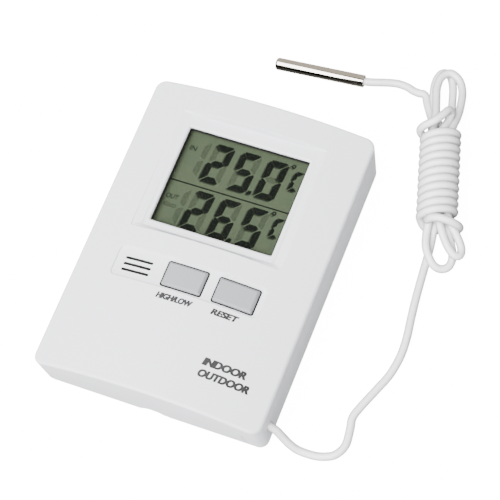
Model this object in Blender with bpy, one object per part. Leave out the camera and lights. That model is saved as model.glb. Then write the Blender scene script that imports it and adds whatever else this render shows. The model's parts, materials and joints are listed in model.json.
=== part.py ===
"""Maximum minimum thermometer with an outdoor probe on a cord, lying on its back.

The origin is under the middle of the case, +Z comes out of the display and +Y points to the top of
the display. Every dimension below is in millimetres; new_object() turns them into metres.
"""
import math

import bmesh
import bpy
from mathutils import Vector

MM = 0.001
GAP = 0.3                       # clearance between neighbouring pieces

# Case
CASE_WIDTH = 72.8
CASE_HEIGHT = 100.0
SIDE_HEIGHT = 17.3              # front edge above the back, at the two long sides
TOP_BULGE = 4.2                 # extra height of the crowned front at the middle of the top end
BOTTOM_BULGE = 5.8              # the same at the bottom end
CORNER_RADIUS = 4.5
EDGE_RADIUS = 0.9
WALL = 2.0
END_DRAFT = 1.3                 # how far the end walls lean in towards the back
REAR_PLATE = 2.0                # thickness of the rear cover's plate
RIM_HEIGHT = REAR_PLATE + GAP   # where the front cover's rim starts
REAR_EDGE_RADIUS = 0.9

# Display, as (x0, x1, y0, y1)
PANEL = (-24.3, 24.3, -0.4, 41.0)
PANEL_HEIGHT = 19.5             # the sunk flat round the window
PANEL_RAMP = 1.6                # run of the slope at the panel's lower end
ABOVE_CROWN = 26.0              # cutters for the front end here, clear of its highest point
WINDOW = (-19.4, 19.9, 3.5, 36.0)
WINDOW_BEVEL = 0.7
BACKING_HEIGHT = 18.0           # inside face of the cover behind the panel
LENS_TOP = BACKING_HEIGHT - GAP
LENS_THICKNESS = 0.7
GLASS_THICKNESS = 0.6
FRONT_GLASS_TOP = LENS_TOP - LENS_THICKNESS - GAP
REAR_GLASS_TOP = FRONT_GLASS_TOP - GLASS_THICKNESS - GAP
BOARD_TOP = 14.4
BOARD_THICKNESS = 1.2
BOARD_BOTTOM = BOARD_TOP - BOARD_THICKNESS
BOARD = (-26.5, 26.5, -23.5, 46.8)

# Buttons and vent
BUTTON_RECESS = (-24.2, 23.4, -17.2, -7.3)
BUTTON_RECESS_DEPTH = 0.6
BUTTON_SIZE = (12.4, 7.6)
BUTTON_CENTRES = {"high_low_button": -1.2, "reset_button": 15.2}
BUTTON_Y = -12.45
BUTTON_PROUD = 0.5              # above the crowned front
STEM_BOTTOM = 16.9
VENT_SLOTS = 3
VENT_PITCH = 1.95
VENT_CENTRE = (-16.8, -12.75)
VENT_SIZE = (9.2, 0.9)

# Screws
CASE_SCREWS = ((-30.4, 42.6), (30.4, 42.6), (-30.0, -32.0), (30.0, -32.0))
CASE_BOSS_RADIUS = 3.1
SCREW_WELL_TOP = 5.0
BOARD_SCREWS = ((-23.6, 44.0), (23.6, 44.0), (-23.6, -20.6), (23.6, -20.6))
BOARD_BOSS_RADIUS = 2.4
PILOT_CLEARANCE = 0.3

# Battery bay
CELL_LENGTH = 44.5
CELL_DIAMETER = 10.5
CELL_Y = 22.0
CELL_Z = 7.65
BAY = (-26.8, 26.8, CELL_Y - 6.2, CELL_Y + 6.2)
BAY_WALL = 1.2
BAY_TOP = BOARD_BOTTOM - GAP
DOOR_THICKNESS = 1.6
DOOR_BASE = 0.1                 # outer face of the door, just inside the back face
DOOR_AXIS = (-25.0, 1.5)        # x and z of the door's hinge
DOOR_HINGE_ROOM = 0.9           # clearance at the hinged end, where its corner swings round
DOOR_PIN_RADIUS = 0.8
DOOR_GRIPS = 5
CONTACT_X = (BAY[0] + GAP + 0.2, BAY[1] - GAP - 0.2)
CONTACT_HALF_THICKNESS = 0.2
SPRING_LENGTH = 5.6
SPRING_TURNS = 4
SPRING_WIRE = 0.4               # radius of the wire
SPRING_RADII = (3.9, 2.2)       # at its plate and at the cell

# Stand
STAND_HALF_WIDTH = 11.7
STAND_AXIS = (-10.0, 1.7)       # y and z of the stand's hinge
STAND_END = -45.0
STAND_BASE = 0.2
STAND_THICKNESS = 1.6
STAND_POCKET = (-7.0, 7.0, -40.0, -18.0)
STAND_BARREL_RADIUS = 1.4
STAND_PIN_RADIUS = 0.9
STAND_RECESS_TOP = 2.3
TRAY_END = -46.4                # lower end of the raised floor behind the stand
NOTCH_RADIUS = 5.0
NOTCH_END = -42.2
NOTCH_DEPTH = 4.0               # how far the finger notch rises above the back face

# Cord and probe
CORD_DIAMETER = 2.6
CORD_RADIUS = CORD_DIAMETER / 2
CORD_EXIT = (CASE_WIDTH / 2, -43.6, 9.3)
CORD_LIE = CORD_RADIUS + 0.05   # height of the cord's centreline where it lies on the surface
PROBE_START = Vector((21.4, 76.0, 2.0))
PROBE_END = Vector((-7.9, 73.8, 2.0))
PROBE_RADIUS = 2.0
PROBE_WALL = 0.4
HANK_MIDDLE = (55.1, 51.4)
HANK_ANGLE = math.radians(16.9)  # from +Y towards -X
HANK_ENDS = (-33.0, 37.7)       # along its own length, from HANK_MIDDLE
HANK_WIDTH = 13.2
HANK_HEIGHT = 10.4
CLAMP_TOP = CORD_EXIT[2] + 0.1 - CORD_RADIUS - GAP
CLAMP_SCREW = (29.6, -39.4)
WIRE_RADIUS = 0.45

LEAD_ROUTE = (
    (27.0, -43.6, 9.4), (31.0, -43.6, 9.4), (34.4, -43.6, 9.4), CORD_EXIT,
    (38.5, -43.9, 8.4), (40.7, -44.7, 6.5), (43.0, -45.5, 4.5), (45.6, -45.9, 2.8),
    (50.1, -45.6, 1.6), (53.5, -44.7, CORD_LIE), (56.2, -43.0, CORD_LIE), (57.8, -39.5, CORD_LIE),
    (57.4, -34.6, CORD_LIE), (56.8, -30.8, CORD_LIE), (57.9, -26.9, CORD_LIE),
    (60.4, -20.5, CORD_LIE), (62.6, -14.6, CORD_LIE), (63.6, -8.1, CORD_LIE),
    (63.4, -2.0, CORD_LIE), (62.5, 4.5, CORD_LIE), (61.7, 11.0, CORD_LIE), (61.0, 18.6, CORD_LIE))
PROBE_ROUTE = (
    (38.4, 77.8, CORD_LIE), (35.4, 78.3, CORD_LIE), (32.6, 78.5, CORD_LIE), (29.9, 78.3, 1.4),
    (26.5, 77.3, 1.8), (23.6, 76.4, 1.97), (21.4, 76.0, 2.0), (17.0, 75.67, 2.0), (13.4, 75.4, 2.0))

COLOURS = {                     # base colour, roughness, metallic
    "white_plastic": ((0.80, 0.81, 0.82), 0.42, 0.0),
    "grey_plastic": ((0.50, 0.51, 0.52), 0.40, 0.0),
    "clear_plastic": ((0.85, 0.88, 0.88), 0.08, 0.0),
    "glass": ((0.45, 0.52, 0.42), 0.10, 0.0),
    "reflector": ((0.33, 0.37, 0.27), 0.35, 0.0),
    "conductive_rubber": ((0.03, 0.03, 0.03), 0.70, 0.0),
    "circuit_board": ((0.05, 0.22, 0.09), 0.45, 0.0),
    "resin": ((0.01, 0.01, 0.01), 0.25, 0.0),
    "steel": ((0.62, 0.60, 0.57), 0.22, 1.0),
    "cell_wrap": ((0.08, 0.16, 0.12), 0.35, 0.2),
    "rubber": ((0.55, 0.56, 0.55), 0.60, 0.0),
    "cord": ((0.83, 0.83, 0.84), 0.32, 0.0),
}


# The exact solver leaves open seams where this many bosses and holes meet the crowned wall.
MANIFOLD_ITEMS = {"front_cover"}


# Making objects

def start_clean():
    for old in list(bpy.data.objects):
        bpy.data.objects.remove(old, do_unlink=True)


def finish_material(name):
    material = bpy.data.materials.get(name)
    if material is None:
        colour, roughness, metallic = COLOURS[name]
        material = bpy.data.materials.new(name)
        material.use_nodes = True
        shader = material.node_tree.nodes["Principled BSDF"]
        shader.inputs["Base Color"].default_value = (*colour, 1.0)
        shader.inputs["Roughness"].default_value = roughness
        shader.inputs["Metallic"].default_value = metallic
        material.diffuse_color = (*colour, 1.0)
    return material


def new_object(name, bm, finish=None, smooth=False, origin=(0.0, 0.0, 0.0)):
    """Turn a bmesh in millimetres into an object in metres whose origin is at origin."""
    place = Vector(origin)
    for vertex in bm.verts:
        vertex.co = (vertex.co - place) * MM
    mesh = bpy.data.meshes.new(name)
    bm.to_mesh(mesh)
    bm.free()
    if smooth:
        mesh.shade_smooth()
        mesh.set_sharp_from_angle(angle=math.radians(35))
    item = bpy.data.objects.new(name, mesh)
    item.location = place * MM
    bpy.context.scene.collection.objects.link(item)
    if finish:
        mesh.materials.append(finish_material(finish))
    return item


def shape(item, operation, bm):
    """Boolean the bmesh tool with the item, and keep the tool as a hidden wire object."""
    tool = new_object(f"{item.name}_{operation.lower()}_{len(item.modifiers)}", bm)
    tool.hide_render = True
    tool.display_type = "WIRE"
    step = item.modifiers.new(tool.name, "BOOLEAN")
    step.operation = operation
    step.solver = "MANIFOLD" if item.name in MANIFOLD_ITEMS else "EXACT"
    step.object = tool


def cut(item, bm):
    shape(item, "DIFFERENCE", bm)


def add(item, bm):
    shape(item, "UNION", bm)


# Mesh shapes, all returned as a bmesh in millimetres

def crown(x, y):
    """Height of the crowned front: a parabola across, straight from end to end."""
    share = (y + CASE_HEIGHT / 2) / CASE_HEIGHT
    bulge = BOTTOM_BULGE + (TOP_BULGE - BOTTOM_BULGE) * share
    return SIDE_HEIGHT + bulge * max(0.0, 1 - (x / (CASE_WIDTH / 2)) ** 2)


def below_crown(drop):
    return lambda x, y: crown(x, y) - drop


def rounded_chains(box, radius, across, corner):
    """The lower and upper halves of a rounded rectangle, left to right on the same stations."""
    x0, x1, y0, y1 = box
    turns = [math.pi / 2 * k / corner for k in range(corner + 1)] if radius > 0.01 else [math.pi / 2]
    steps = [(radius * (1 - math.cos(a)), radius * (1 - math.sin(a))) for a in turns]
    reach = x1 - x0 - 2 * radius
    middle = [(x0 + radius + reach * k / across, 0.0) for k in range(1, across)]
    stations = [(x0 + along, inset) for along, inset in steps] + middle
    stations += [(x1 - along, inset) for along, inset in reversed(steps)]
    low = [(x, y0 + inset) for x, inset in stations]
    high = [(x, y1 - inset) for x, inset in stations]
    return low, high


def block(box, layers, radius=0.0, across=1, corner=4):
    """Closed block from stacked rounded rectangles. A layer is (side inset, end inset, height)."""
    bm = bmesh.new()
    rings = []
    for side, end, height in layers:
        x0, x1, y0, y1 = box
        inset_box = (x0 + side, x1 - side, y0 + end, y1 - end)
        low, high = rounded_chains(inset_box, max(radius - side, min(radius, 0.05)), across, corner)
        level = height if callable(height) else (lambda x, y, fixed=height: fixed)
        rings.append([[bm.verts.new((x, y, level(x, y))) for x, y in chain] for chain in (low, high)])
    for (low, high), (low_up, high_up) in zip(rings, rings[1:]):
        loop = low + high[::-1]
        loop_up = low_up + high_up[::-1]
        for k, corner_vertex in enumerate(loop):
            n = (k + 1) % len(loop)
            bm.faces.new((corner_vertex, loop[n], loop_up[n], loop_up[k]))
    low, high = rings[0]
    for k in range(len(low) - 1):
        bm.faces.new((low[k], high[k], high[k + 1], low[k + 1]))
    low, high = rings[-1]
    for k in range(len(low) - 1):
        bm.faces.new((low[k], low[k + 1], high[k + 1], high[k]))
    bmesh.ops.triangulate(bm, faces=bm.faces)
    return bm


def box_shape(x0, x1, y0, y1, z0, z1):
    return block((x0, x1, y0, y1), ((0, 0, z0), (0, 0, z1)))


def rounded_edge(radius, height, steps=3):
    """Layers that round the upper edge of a block, for height a function of x and y."""
    turns = [math.pi / 2 * k / steps for k in range(steps + 1)]
    insets = [(radius * (1 - math.cos(a)), radius * (1 - math.sin(a))) for a in turns]
    return [(inset, inset, lambda x, y, drop=drop: height(x, y) - drop) for inset, drop in insets]


def turned(profile, centre, axis="Z", sides=24):
    """Solid of revolution. The profile runs from the axis back to the axis as (radius, along)."""
    bm = bmesh.new()
    start = Vector(centre)
    frames = {
        "X": (Vector((0, 1, 0)), Vector((0, 0, 1)), Vector((1, 0, 0))),
        "Y": (Vector((0, 0, 1)), Vector((1, 0, 0)), Vector((0, 1, 0))),
        "Z": (Vector((1, 0, 0)), Vector((0, 1, 0)), Vector((0, 0, 1)))}
    right, up, along = frames[axis] if isinstance(axis, str) else axis
    rings = []
    for radius, height in profile:
        if radius < 1e-6:
            rings.append([bm.verts.new(start + along * height)])
            continue
        ring = []
        for k in range(sides):
            turn = 2 * math.pi * k / sides
            offset = right * (radius * math.cos(turn)) + up * (radius * math.sin(turn))
            ring.append(bm.verts.new(start + along * height + offset))
        rings.append(ring)
    for first, second in zip(rings, rings[1:]):
        for k in range(sides):
            n = (k + 1) % sides
            if len(first) == 1:
                bm.faces.new((first[0], second[n], second[k]))
            elif len(second) == 1:
                bm.faces.new((first[k], first[n], second[0]))
            else:
                bm.faces.new((first[k], first[n], second[n], second[k]))
    return bm


def rod(radius, centre, length, axis="Z", sides=24):
    return turned(((0, 0), (radius, 0), (radius, length), (0, length)), centre, axis, sides)


def slot_shape(centre, size, z0, z1):
    """Upright slot with round ends, longer along X."""
    x, y = centre
    length, width = size
    box = (x - length / 2, x + length / 2, y - width / 2, y + width / 2)
    return block(box, ((0, 0, z0), (0, 0, z1)), radius=width / 2 - 0.02, corner=4)


def smooth_route(points, spacing):
    """Points about spacing apart on a Catmull-Rom curve through the route's own points."""
    route = [Vector(p) for p in points]
    route = [2 * route[0] - route[1]] + route + [2 * route[-1] - route[-2]]
    result = []
    for a, b, c, d in zip(route, route[1:], route[2:], route[3:]):
        steps = max(1, round((c - b).length / spacing))
        for k in range(steps):
            t = k / steps
            point = 2 * b + (c - a) * t + (2 * a - 5 * b + 4 * c - d) * t ** 2
            result.append((point + (3 * b - a - 3 * c + d) * t ** 3) / 2)
    result.append(route[-2])
    return result


def cord_object(name, points, radius, finish, spacing):
    """Curve object with a round bevel and filled ends along a smooth route."""
    curve = bpy.data.curves.new(name, "CURVE")
    curve.dimensions = "3D"
    curve.bevel_depth = radius * MM
    curve.bevel_resolution = 2
    curve.use_fill_caps = True
    spline = curve.splines.new("POLY")
    path = smooth_route(points, spacing)
    spline.points.add(len(path) - 1)
    for target, point in zip(spline.points, path):
        target.co = (*(point * MM), 1.0)
    curve.materials.append(finish_material(finish))
    item = bpy.data.objects.new(name, curve)
    bpy.context.scene.collection.objects.link(item)
    return item


# Case

def outer_box(grow=0.0):
    half_x = CASE_WIDTH / 2 + grow
    half_y = CASE_HEIGHT / 2 + grow
    return (-half_x, half_x, -half_y, half_y)


def button_box(name, grow=0.0):
    x = BUTTON_CENTRES[name]
    half_x = BUTTON_SIZE[0] / 2 + grow
    half_y = BUTTON_SIZE[1] / 2 + grow
    return (x - half_x, x + half_x, BUTTON_Y - half_y, BUTTON_Y + half_y)


def finger_notch():
    start = -CASE_HEIGHT / 2 - 3
    centre = (0, start, NOTCH_DEPTH - NOTCH_RADIUS)
    return rod(NOTCH_RADIUS, centre, NOTCH_END - start, "Y", sides=40)


def make_front_cover():
    outer = block(outer_box(), [(0, END_DRAFT, RIM_HEIGHT)] + rounded_edge(EDGE_RADIUS, crown),
                  CORNER_RADIUS, across=16, corner=5)
    cover = new_object("front_cover", outer, "white_plastic", smooth=True)
    cavity_layers = ((0, END_DRAFT, RIM_HEIGHT - 1), (0, 0, below_crown(WALL)))
    cut(cover, block(outer_box(-WALL), cavity_layers, CORNER_RADIUS - WALL, across=16, corner=4))
    x0, x1, y0, y1 = PANEL
    backing = (x0 - 2, x1 + 2, y0 - 2, y1 + 2)
    add(cover, block(backing, ((0, 0, BACKING_HEIGHT), (0, 0, below_crown(1.0))), across=12))
    for x, y in CASE_SCREWS:
        base = SCREW_WELL_TOP + GAP
        add(cover, rod(CASE_BOSS_RADIUS, (x, y, base), crown(x, y) - 1.3 - base))
        cut(cover, rod(1.1 + PILOT_CLEARANCE, (x, y, base - 1), 9.0, sides=16))
    for x, y in BOARD_SCREWS:
        base = BOARD_TOP + GAP
        add(cover, rod(BOARD_BOSS_RADIUS, (x, y, base), crown(x, y) - 1.1 - base))
        cut(cover, rod(0.8 + PILOT_CLEARANCE, (x, y, base - 1), 3.4, sides=16))
    make_cord_saddle(cover)
    cut_display_panel(cover)
    cut_button_openings(cover)
    cut(cover, rod(CORD_RADIUS + GAP, (CASE_WIDTH / 2 - WALL - 1, *CORD_EXIT[1:]), WALL + 2, "X"))
    cut(cover, finger_notch())
    return cover


def make_cord_saddle(cover):
    """Two-step rib that the cord lies under, with the boss that takes the clamp's screw."""
    base = CORD_EXIT[2] + 0.1 + CORD_RADIUS + GAP
    add(cover, box_shape(27.6, 31.6, -48.6, -41.2, base, crown(30, -45) - 1.2))
    boss_base = CLAMP_TOP + GAP
    add(cover, rod(2.2, (*CLAMP_SCREW, boss_base), crown(*CLAMP_SCREW) - 1.2 - boss_base, sides=20))
    cut(cover, rod(0.8 + PILOT_CLEARANCE, (*CLAMP_SCREW, boss_base - 1), 6.0, sides=16))


def cut_display_panel(cover):
    x0, x1, y0, y1 = PANEL
    top = ABOVE_CROWN
    run = (top - PANEL_HEIGHT) * PANEL_RAMP / (crown(0, y0) - PANEL_HEIGHT)
    panel = bmesh.new()
    profile = ((y0 + PANEL_RAMP, PANEL_HEIGHT), (y1 - 0.4, PANEL_HEIGHT), (y1 + 0.4, top),
               (y0 + PANEL_RAMP - run, top))
    left = [panel.verts.new((x0, y, z)) for y, z in profile]
    right = [panel.verts.new((x1, y, z)) for y, z in profile]
    panel.faces.new(left[::-1])
    panel.faces.new(right)
    for k in range(4):
        n = (k + 1) % 4
        panel.faces.new((left[k], left[n], right[n], right[k]))
    cut(cover, panel)
    bevel_bottom = PANEL_HEIGHT - WINDOW_BEVEL
    layers = ((0, 0, BACKING_HEIGHT - 1), (0, 0, bevel_bottom), (-WINDOW_BEVEL - 0.3, -WINDOW_BEVEL - 0.3,
              PANEL_HEIGHT + 0.3))
    cut(cover, block(WINDOW, layers, radius=0.5, corner=2))


def cut_button_openings(cover):
    recess = ((0.35, 0.35, below_crown(BUTTON_RECESS_DEPTH)), (0, 0, below_crown(0.1)), (0, 0, ABOVE_CROWN))
    cut(cover, block(BUTTON_RECESS, recess, radius=1.6, across=14, corner=4))
    for name in BUTTON_CENTRES:
        layers = ((0, 0, BACKING_HEIGHT), (0, 0, ABOVE_CROWN))
        cut(cover, block(button_box(name, GAP), layers, radius=1.2, corner=3))
    for k in range(VENT_SLOTS):
        x, y = VENT_CENTRE
        y += (k - (VENT_SLOTS - 1) / 2) * VENT_PITCH
        cut(cover, slot_shape((x, y), VENT_SIZE, BACKING_HEIGHT - 1, ABOVE_CROWN))


def make_rear_cover():
    inset = 0.35
    end = END_DRAFT + inset
    r = REAR_EDGE_RADIUS
    layers = ((inset + r, end + r, 0.0), (inset + 0.3 * r, end + 0.3 * r, 0.3 * r), (inset, end, r),
              (inset, end, REAR_PLATE))
    plate = block(outer_box(), layers, CORNER_RADIUS, across=6, corner=5)
    cover = new_object("rear_cover", plate, "white_plastic", smooth=True)
    add_locating_lip(cover)
    for x, y in CASE_SCREWS:
        add(cover, rod(3.5, (x, y, REAR_PLATE - 1), SCREW_WELL_TOP - REAR_PLATE + 1, sides=28))
        cut(cover, rod(2.8, (x, y, -1), 4.2, sides=28))
        cut(cover, rod(1.5, (x, y, 2.0), 5.0, sides=16))
    add_battery_bay(cover)
    add_stand_recess(cover)
    cut(cover, finger_notch())
    return cover


def add_locating_lip(cover):
    """Low wall inside the front cover's rim, open where the screw wells and the cord need room."""
    outside = WALL + GAP
    z0, z1 = REAR_PLATE - 0.5, REAR_PLATE + 2.0
    half_x = CASE_WIDTH / 2 - outside
    half_y = CASE_HEIGHT / 2 - END_DRAFT - outside
    for side in (-1, 1):
        x0, x1 = sorted((side * half_x, side * (half_x - 1.2)))
        add(cover, box_shape(x0, x1, -24.0, 36.0, z0, z1))
        y0, y1 = sorted((side * half_y, side * (half_y - 1.2)))
        add(cover, box_shape(-24.0, -8.0, y0, y1, z0, z1))
        add(cover, box_shape(8.0, 24.0, y0, y1, z0, z1))


def add_battery_bay(cover):
    x0, x1, y0, y1 = BAY
    add(cover, box_shape(x0 - BAY_WALL, x1 + BAY_WALL, y0 - BAY_WALL, y1 + BAY_WALL, 1.0, BAY_TOP))
    cut(cover, box_shape(x0, x1, y0, y1, -1.0, BAY_TOP + 1))
    pin_room = rod(DOOR_PIN_RADIUS + GAP, (DOOR_AXIS[0], y0 - 1.7, DOOR_AXIS[1]), y1 - y0 + 3.4, "Y", 16)
    cut(cover, pin_room)


def add_stand_recess(cover):
    """Raised floor behind the stand, the recess it folds into and the sockets of its pins."""
    y_hinge, z_hinge = STAND_AXIS
    half = STAND_HALF_WIDTH + GAP
    add(cover, box_shape(-half - 2.4, half + 2.4, TRAY_END, y_hinge + 3.6, 1.0, STAND_RECESS_TOP + 1.4))
    add(cover, box_shape(-half - 2.4, half + 2.4, y_hinge - 3.6, y_hinge + 3.6, 1.0, z_hinge + 3.2))
    add(cover, box_shape(-6.6, 6.6, TRAY_END, NOTCH_END + 1.2, 1.0, NOTCH_DEPTH + 1.2))
    cut(cover, box_shape(-half, half, STAND_END - GAP, y_hinge + 1.8, -1.0, STAND_RECESS_TOP))
    cut(cover, box_shape(-half, half, y_hinge - 1.9, y_hinge + 1.8, -1.0, z_hinge + 1.8))
    pin_length = 2 * half + 3.0
    cut(cover, rod(STAND_PIN_RADIUS + GAP, (-pin_length / 2, y_hinge, z_hinge), pin_length, "X", 16))


def make_battery_door():
    x0, x1, y0, y1 = (BAY[0] + DOOR_HINGE_ROOM, BAY[1] - GAP, BAY[2] + GAP, BAY[3] - GAP)
    origin = (DOOR_AXIS[0], CELL_Y, DOOR_AXIS[1])
    base = DOOR_BASE
    panel = block((x0, x1, y0, y1), ((0.3, 0.3, base), (0, 0, base + 0.3), (0, 0, base + DOOR_THICKNESS)))
    door = new_object("battery_door", panel, "white_plastic", origin=origin)
    pin = rod(DOOR_PIN_RADIUS, (DOOR_AXIS[0], y0 - 1.4, DOOR_AXIS[1]), y1 - y0 + 2.8, "Y", 16)
    add(door, pin)
    for k in range(DOOR_GRIPS):
        x = x1 - 6.0 + 0.9 * k
        cut(door, box_shape(x, x + 0.4, CELL_Y - 3.5, CELL_Y + 3.5, -1.0, base + 0.35))
    return door


def make_stand():
    y_hinge, z_hinge = STAND_AXIS
    base = STAND_BASE
    half = STAND_HALF_WIDTH
    layers = ((0.4, 0.4, base), (0, 0, base + 0.4), (0, 0, base + STAND_THICKNESS))
    flap = block((-half, half, STAND_END, y_hinge), layers, radius=1.0, corner=3)
    stand = new_object("stand", flap, "white_plastic", origin=(0, y_hinge, z_hinge))
    add(stand, rod(STAND_BARREL_RADIUS, (-half, y_hinge, z_hinge), 2 * half, "X", 24))
    add(stand, rod(STAND_PIN_RADIUS, (-half - 1.2, y_hinge, z_hinge), 2 * half + 2.4, "X", 16))
    cut(stand, box_shape(*STAND_POCKET, base + 0.9, base + 3))
    return stand


# Display stack and circuit board

def make_display():
    x0, x1, y0, y1 = WINDOW
    lens = box_shape(x0 - 1.8, x1 + 1.8, y0 - 1.7, y1 + 1.8, LENS_TOP - LENS_THICKNESS, LENS_TOP)
    new_object("window_lens", lens, "clear_plastic")
    glass_x = (x0 - 2.6, x1 + 2.6)
    front = (*glass_x, y0 - 3.5, y1 + 3.6, FRONT_GLASS_TOP - GLASS_THICKNESS, FRONT_GLASS_TOP)
    new_object("lcd_front_glass", box_shape(*front), "glass")
    rear = (*glass_x, y0 - 0.9, y1 + 1.0, REAR_GLASS_TOP - GLASS_THICKNESS, REAR_GLASS_TOP)
    new_object("lcd_rear_glass", box_shape(*rear), "glass")
    film_top = REAR_GLASS_TOP - GLASS_THICKNESS - GAP
    film = (glass_x[0] + 0.5, glass_x[1] - 0.5, y0 - 0.7, y1 + 0.8, film_top - 0.2, film_top)
    new_object("lcd_reflector", box_shape(*film), "reflector")
    strip = (glass_x[0] + 1, glass_x[1] - 1)
    heights = (BOARD_TOP + GAP, FRONT_GLASS_TOP - GLASS_THICKNESS - GAP)
    lower = box_shape(*strip, y0 - 3.2, y0 - 1.3, *heights)
    upper = box_shape(*strip, y1 + 1.4, y1 + 3.3, *heights)
    new_object("contact_strip_lower", lower, "conductive_rubber")
    new_object("contact_strip_upper", upper, "conductive_rubber")
    frame_box = (glass_x[0] - 2.3, glass_x[1] + 2.3, y0 - 5.6, y1 + 5.4)
    heights = (BOARD_TOP + GAP, LENS_TOP - 0.7)
    frame = block(frame_box, ((0, 0, heights[0]), (0, 0, heights[1])), radius=1.0, corner=3)
    holder = new_object("lcd_frame", frame, "white_plastic")
    inner = (glass_x[0] - GAP, glass_x[1] + GAP, y0 - 3.8, y1 + 3.9)
    cut(holder, box_shape(*inner, heights[0] - 1, heights[1] + 1))


def make_board():
    board = new_object("circuit_board", box_shape(*BOARD, BOARD_BOTTOM, BOARD_TOP), "circuit_board")
    for x, y in BOARD_SCREWS:
        cut(board, rod(1.2, (x, y, BOARD_BOTTOM - 1), BOARD_THICKNESS + 2, sides=16))
    for x in CONTACT_X:
        cut(board, box_shape(x - 0.6, x + 0.6, CELL_Y - 1.3, CELL_Y + 1.3, BOARD_BOTTOM - 1, BOARD_TOP + 1))
    under = BOARD_BOTTOM - GAP
    dome = ((0, -1.6), (2.6, -1.4), (4.2, -0.8), (4.8, 0), (0, 0))
    new_object("chip_cover", turned(dome, (-3.0, -10.0, under)), "resin", smooth=True)
    crystal = rod(1.0, (-16.0, -14.0, under - 1.0), 6.0, "X", 16)
    new_object("timing_crystal", crystal, "steel", smooth=True)
    new_object("capacitor", box_shape(9.0, 12.2, -16.0, -14.4, under - 1.5, under), "cell_wrap")
    x, y = VENT_CENTRE
    bead = ((0, 0), (0.9, 0), (0.9, 1.6), (1.4, 2.2), (1.5, 3.0), (1.0, 3.8), (0, 4.1))
    new_object("indoor_sensor", turned(bead, (x, y, BOARD_TOP + GAP), sides=20), "resin", smooth=True)


# Buttons

def make_buttons():
    for name, x in BUTTON_CENTRES.items():
        top = crown(x, BUTTON_Y) + BUTTON_PROUD
        surface = below_crown(-BUTTON_PROUD)
        layers = [(0, 0, below_crown(WALL + 0.6))] + rounded_edge(0.5, surface, steps=2)
        cap = block(button_box(name), layers, radius=1.0, across=6, corner=3)
        button = new_object(name, cap, "grey_plastic", smooth=True, origin=(x, BUTTON_Y, top))
        flange = ((0, 0, below_crown(WALL + 1.3)), (0, 0, below_crown(WALL + 0.4)))
        add(button, block(button_box(name, 1.0), flange, radius=1.0, across=6, corner=3))
        stem_top = crown(x, BUTTON_Y) - WALL - 1.0
        add(button, rod(2.2, (x, BUTTON_Y, STEM_BOTTOM), stem_top - STEM_BOTTOM, sides=20))
        make_switch_dome(name.replace("button", "dome"), x)


def make_switch_dome(name, x):
    """Rubber dome under a button: a skirt on the board, a thin sloping wall and a carbon pill."""
    base = BOARD_TOP + GAP
    height = STEM_BOTTOM - GAP - base
    wall = 0.45
    profile = ((0, height - 0.7), (1.6, height - 0.7), (2.6, 0.35), (2.6, 0), (3.6, 0), (3.6, wall),
               (3.0, wall), (1.9, height), (0, height))
    new_object(name, turned(profile, (x, BUTTON_Y, base), sides=24), "rubber", smooth=True)


# Battery and contacts

def make_battery():
    radius = CELL_DIAMETER / 2
    body = CELL_LENGTH - 0.8
    profile = ((0, 0), (radius - 0.5, 0), (radius, 0.4), (radius, body - 0.5), (radius - 0.5, body),
               (1.9, body), (1.9, CELL_LENGTH), (0, CELL_LENGTH))
    start = CONTACT_X[1] - CONTACT_HALF_THICKNESS - SPRING_LENGTH - 2 * GAP
    axis = (Vector((0, 0, 1)), Vector((0, 1, 0)), Vector((-1, 0, 0)))
    cell = turned(profile, (start, CELL_Y, CELL_Z), axis, sides=28)
    new_object("battery_cell", cell, "cell_wrap", smooth=True)
    for name, x in zip(("battery_contact_plate", "spring_plate"), CONTACT_X):
        near, far = x - CONTACT_HALF_THICKNESS, x + CONTACT_HALF_THICKNESS
        plate = box_shape(near, far, CELL_Y - 4.0, CELL_Y + 4.0, 3.6, BAY_TOP - 0.4)
        contact = new_object(name, plate, "steel")
        add(contact, box_shape(near, far, CELL_Y - 1.0, CELL_Y + 1.0, BAY_TOP - 1, BOARD_TOP + 0.2))


def make_battery_spring():
    """Conical coil, wide on its plate and narrow at the cell."""
    steps = 12 * SPRING_TURNS
    start = CONTACT_X[1] - CONTACT_HALF_THICKNESS - GAP - SPRING_WIRE
    run = SPRING_LENGTH - 2 * SPRING_WIRE - GAP
    wide, narrow = SPRING_RADII
    points = []
    for k in range(steps + 1):
        share = k / steps
        turn = 2 * math.pi * SPRING_TURNS * share
        radius = wide + (narrow - wide) * share
        points.append((start - run * share, CELL_Y + radius * math.cos(turn), CELL_Z + radius * math.sin(turn)))
    cord_object("battery_spring", points, SPRING_WIRE, "steel", spacing=50.0)


# Screws

def screw(name, centre, head_radius, head_height, shank_radius, shank_length):
    """Pan-head screw pointing up, with its head underneath."""
    bottom = -head_height
    profile = ((0, bottom), (head_radius - 0.5, bottom), (head_radius, bottom + 0.5), (head_radius, 0),
               (shank_radius, 0), (shank_radius, shank_length - 0.8), (0, shank_length))
    new_object(name, turned(profile, centre, sides=20), "steel", smooth=True)


def make_screws():
    for k, (x, y) in enumerate(CASE_SCREWS, start=1):
        screw(f"case_screw_{k}", (x, y, 2.9), 2.3, 1.5, 1.1, 9.0)
    for k, (x, y) in enumerate(BOARD_SCREWS, start=1):
        screw(f"board_screw_{k}", (x, y, BOARD_BOTTOM - GAP), 1.7, 1.2, 0.8, 3.6)


# Cord and probe

def make_cord_clamp():
    bar = box_shape(27.9, 31.3, -46.0, -37.4, CLAMP_TOP - 1.4, CLAMP_TOP)
    clamp = new_object("cord_clamp", bar, "white_plastic")
    cut(clamp, rod(1.1, (*CLAMP_SCREW, CLAMP_TOP - 3), 5.0, sides=16))
    screw("clamp_screw", (*CLAMP_SCREW, CLAMP_TOP - 1.4 - GAP), 1.7, 1.2, 0.8, 6.4)


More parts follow.
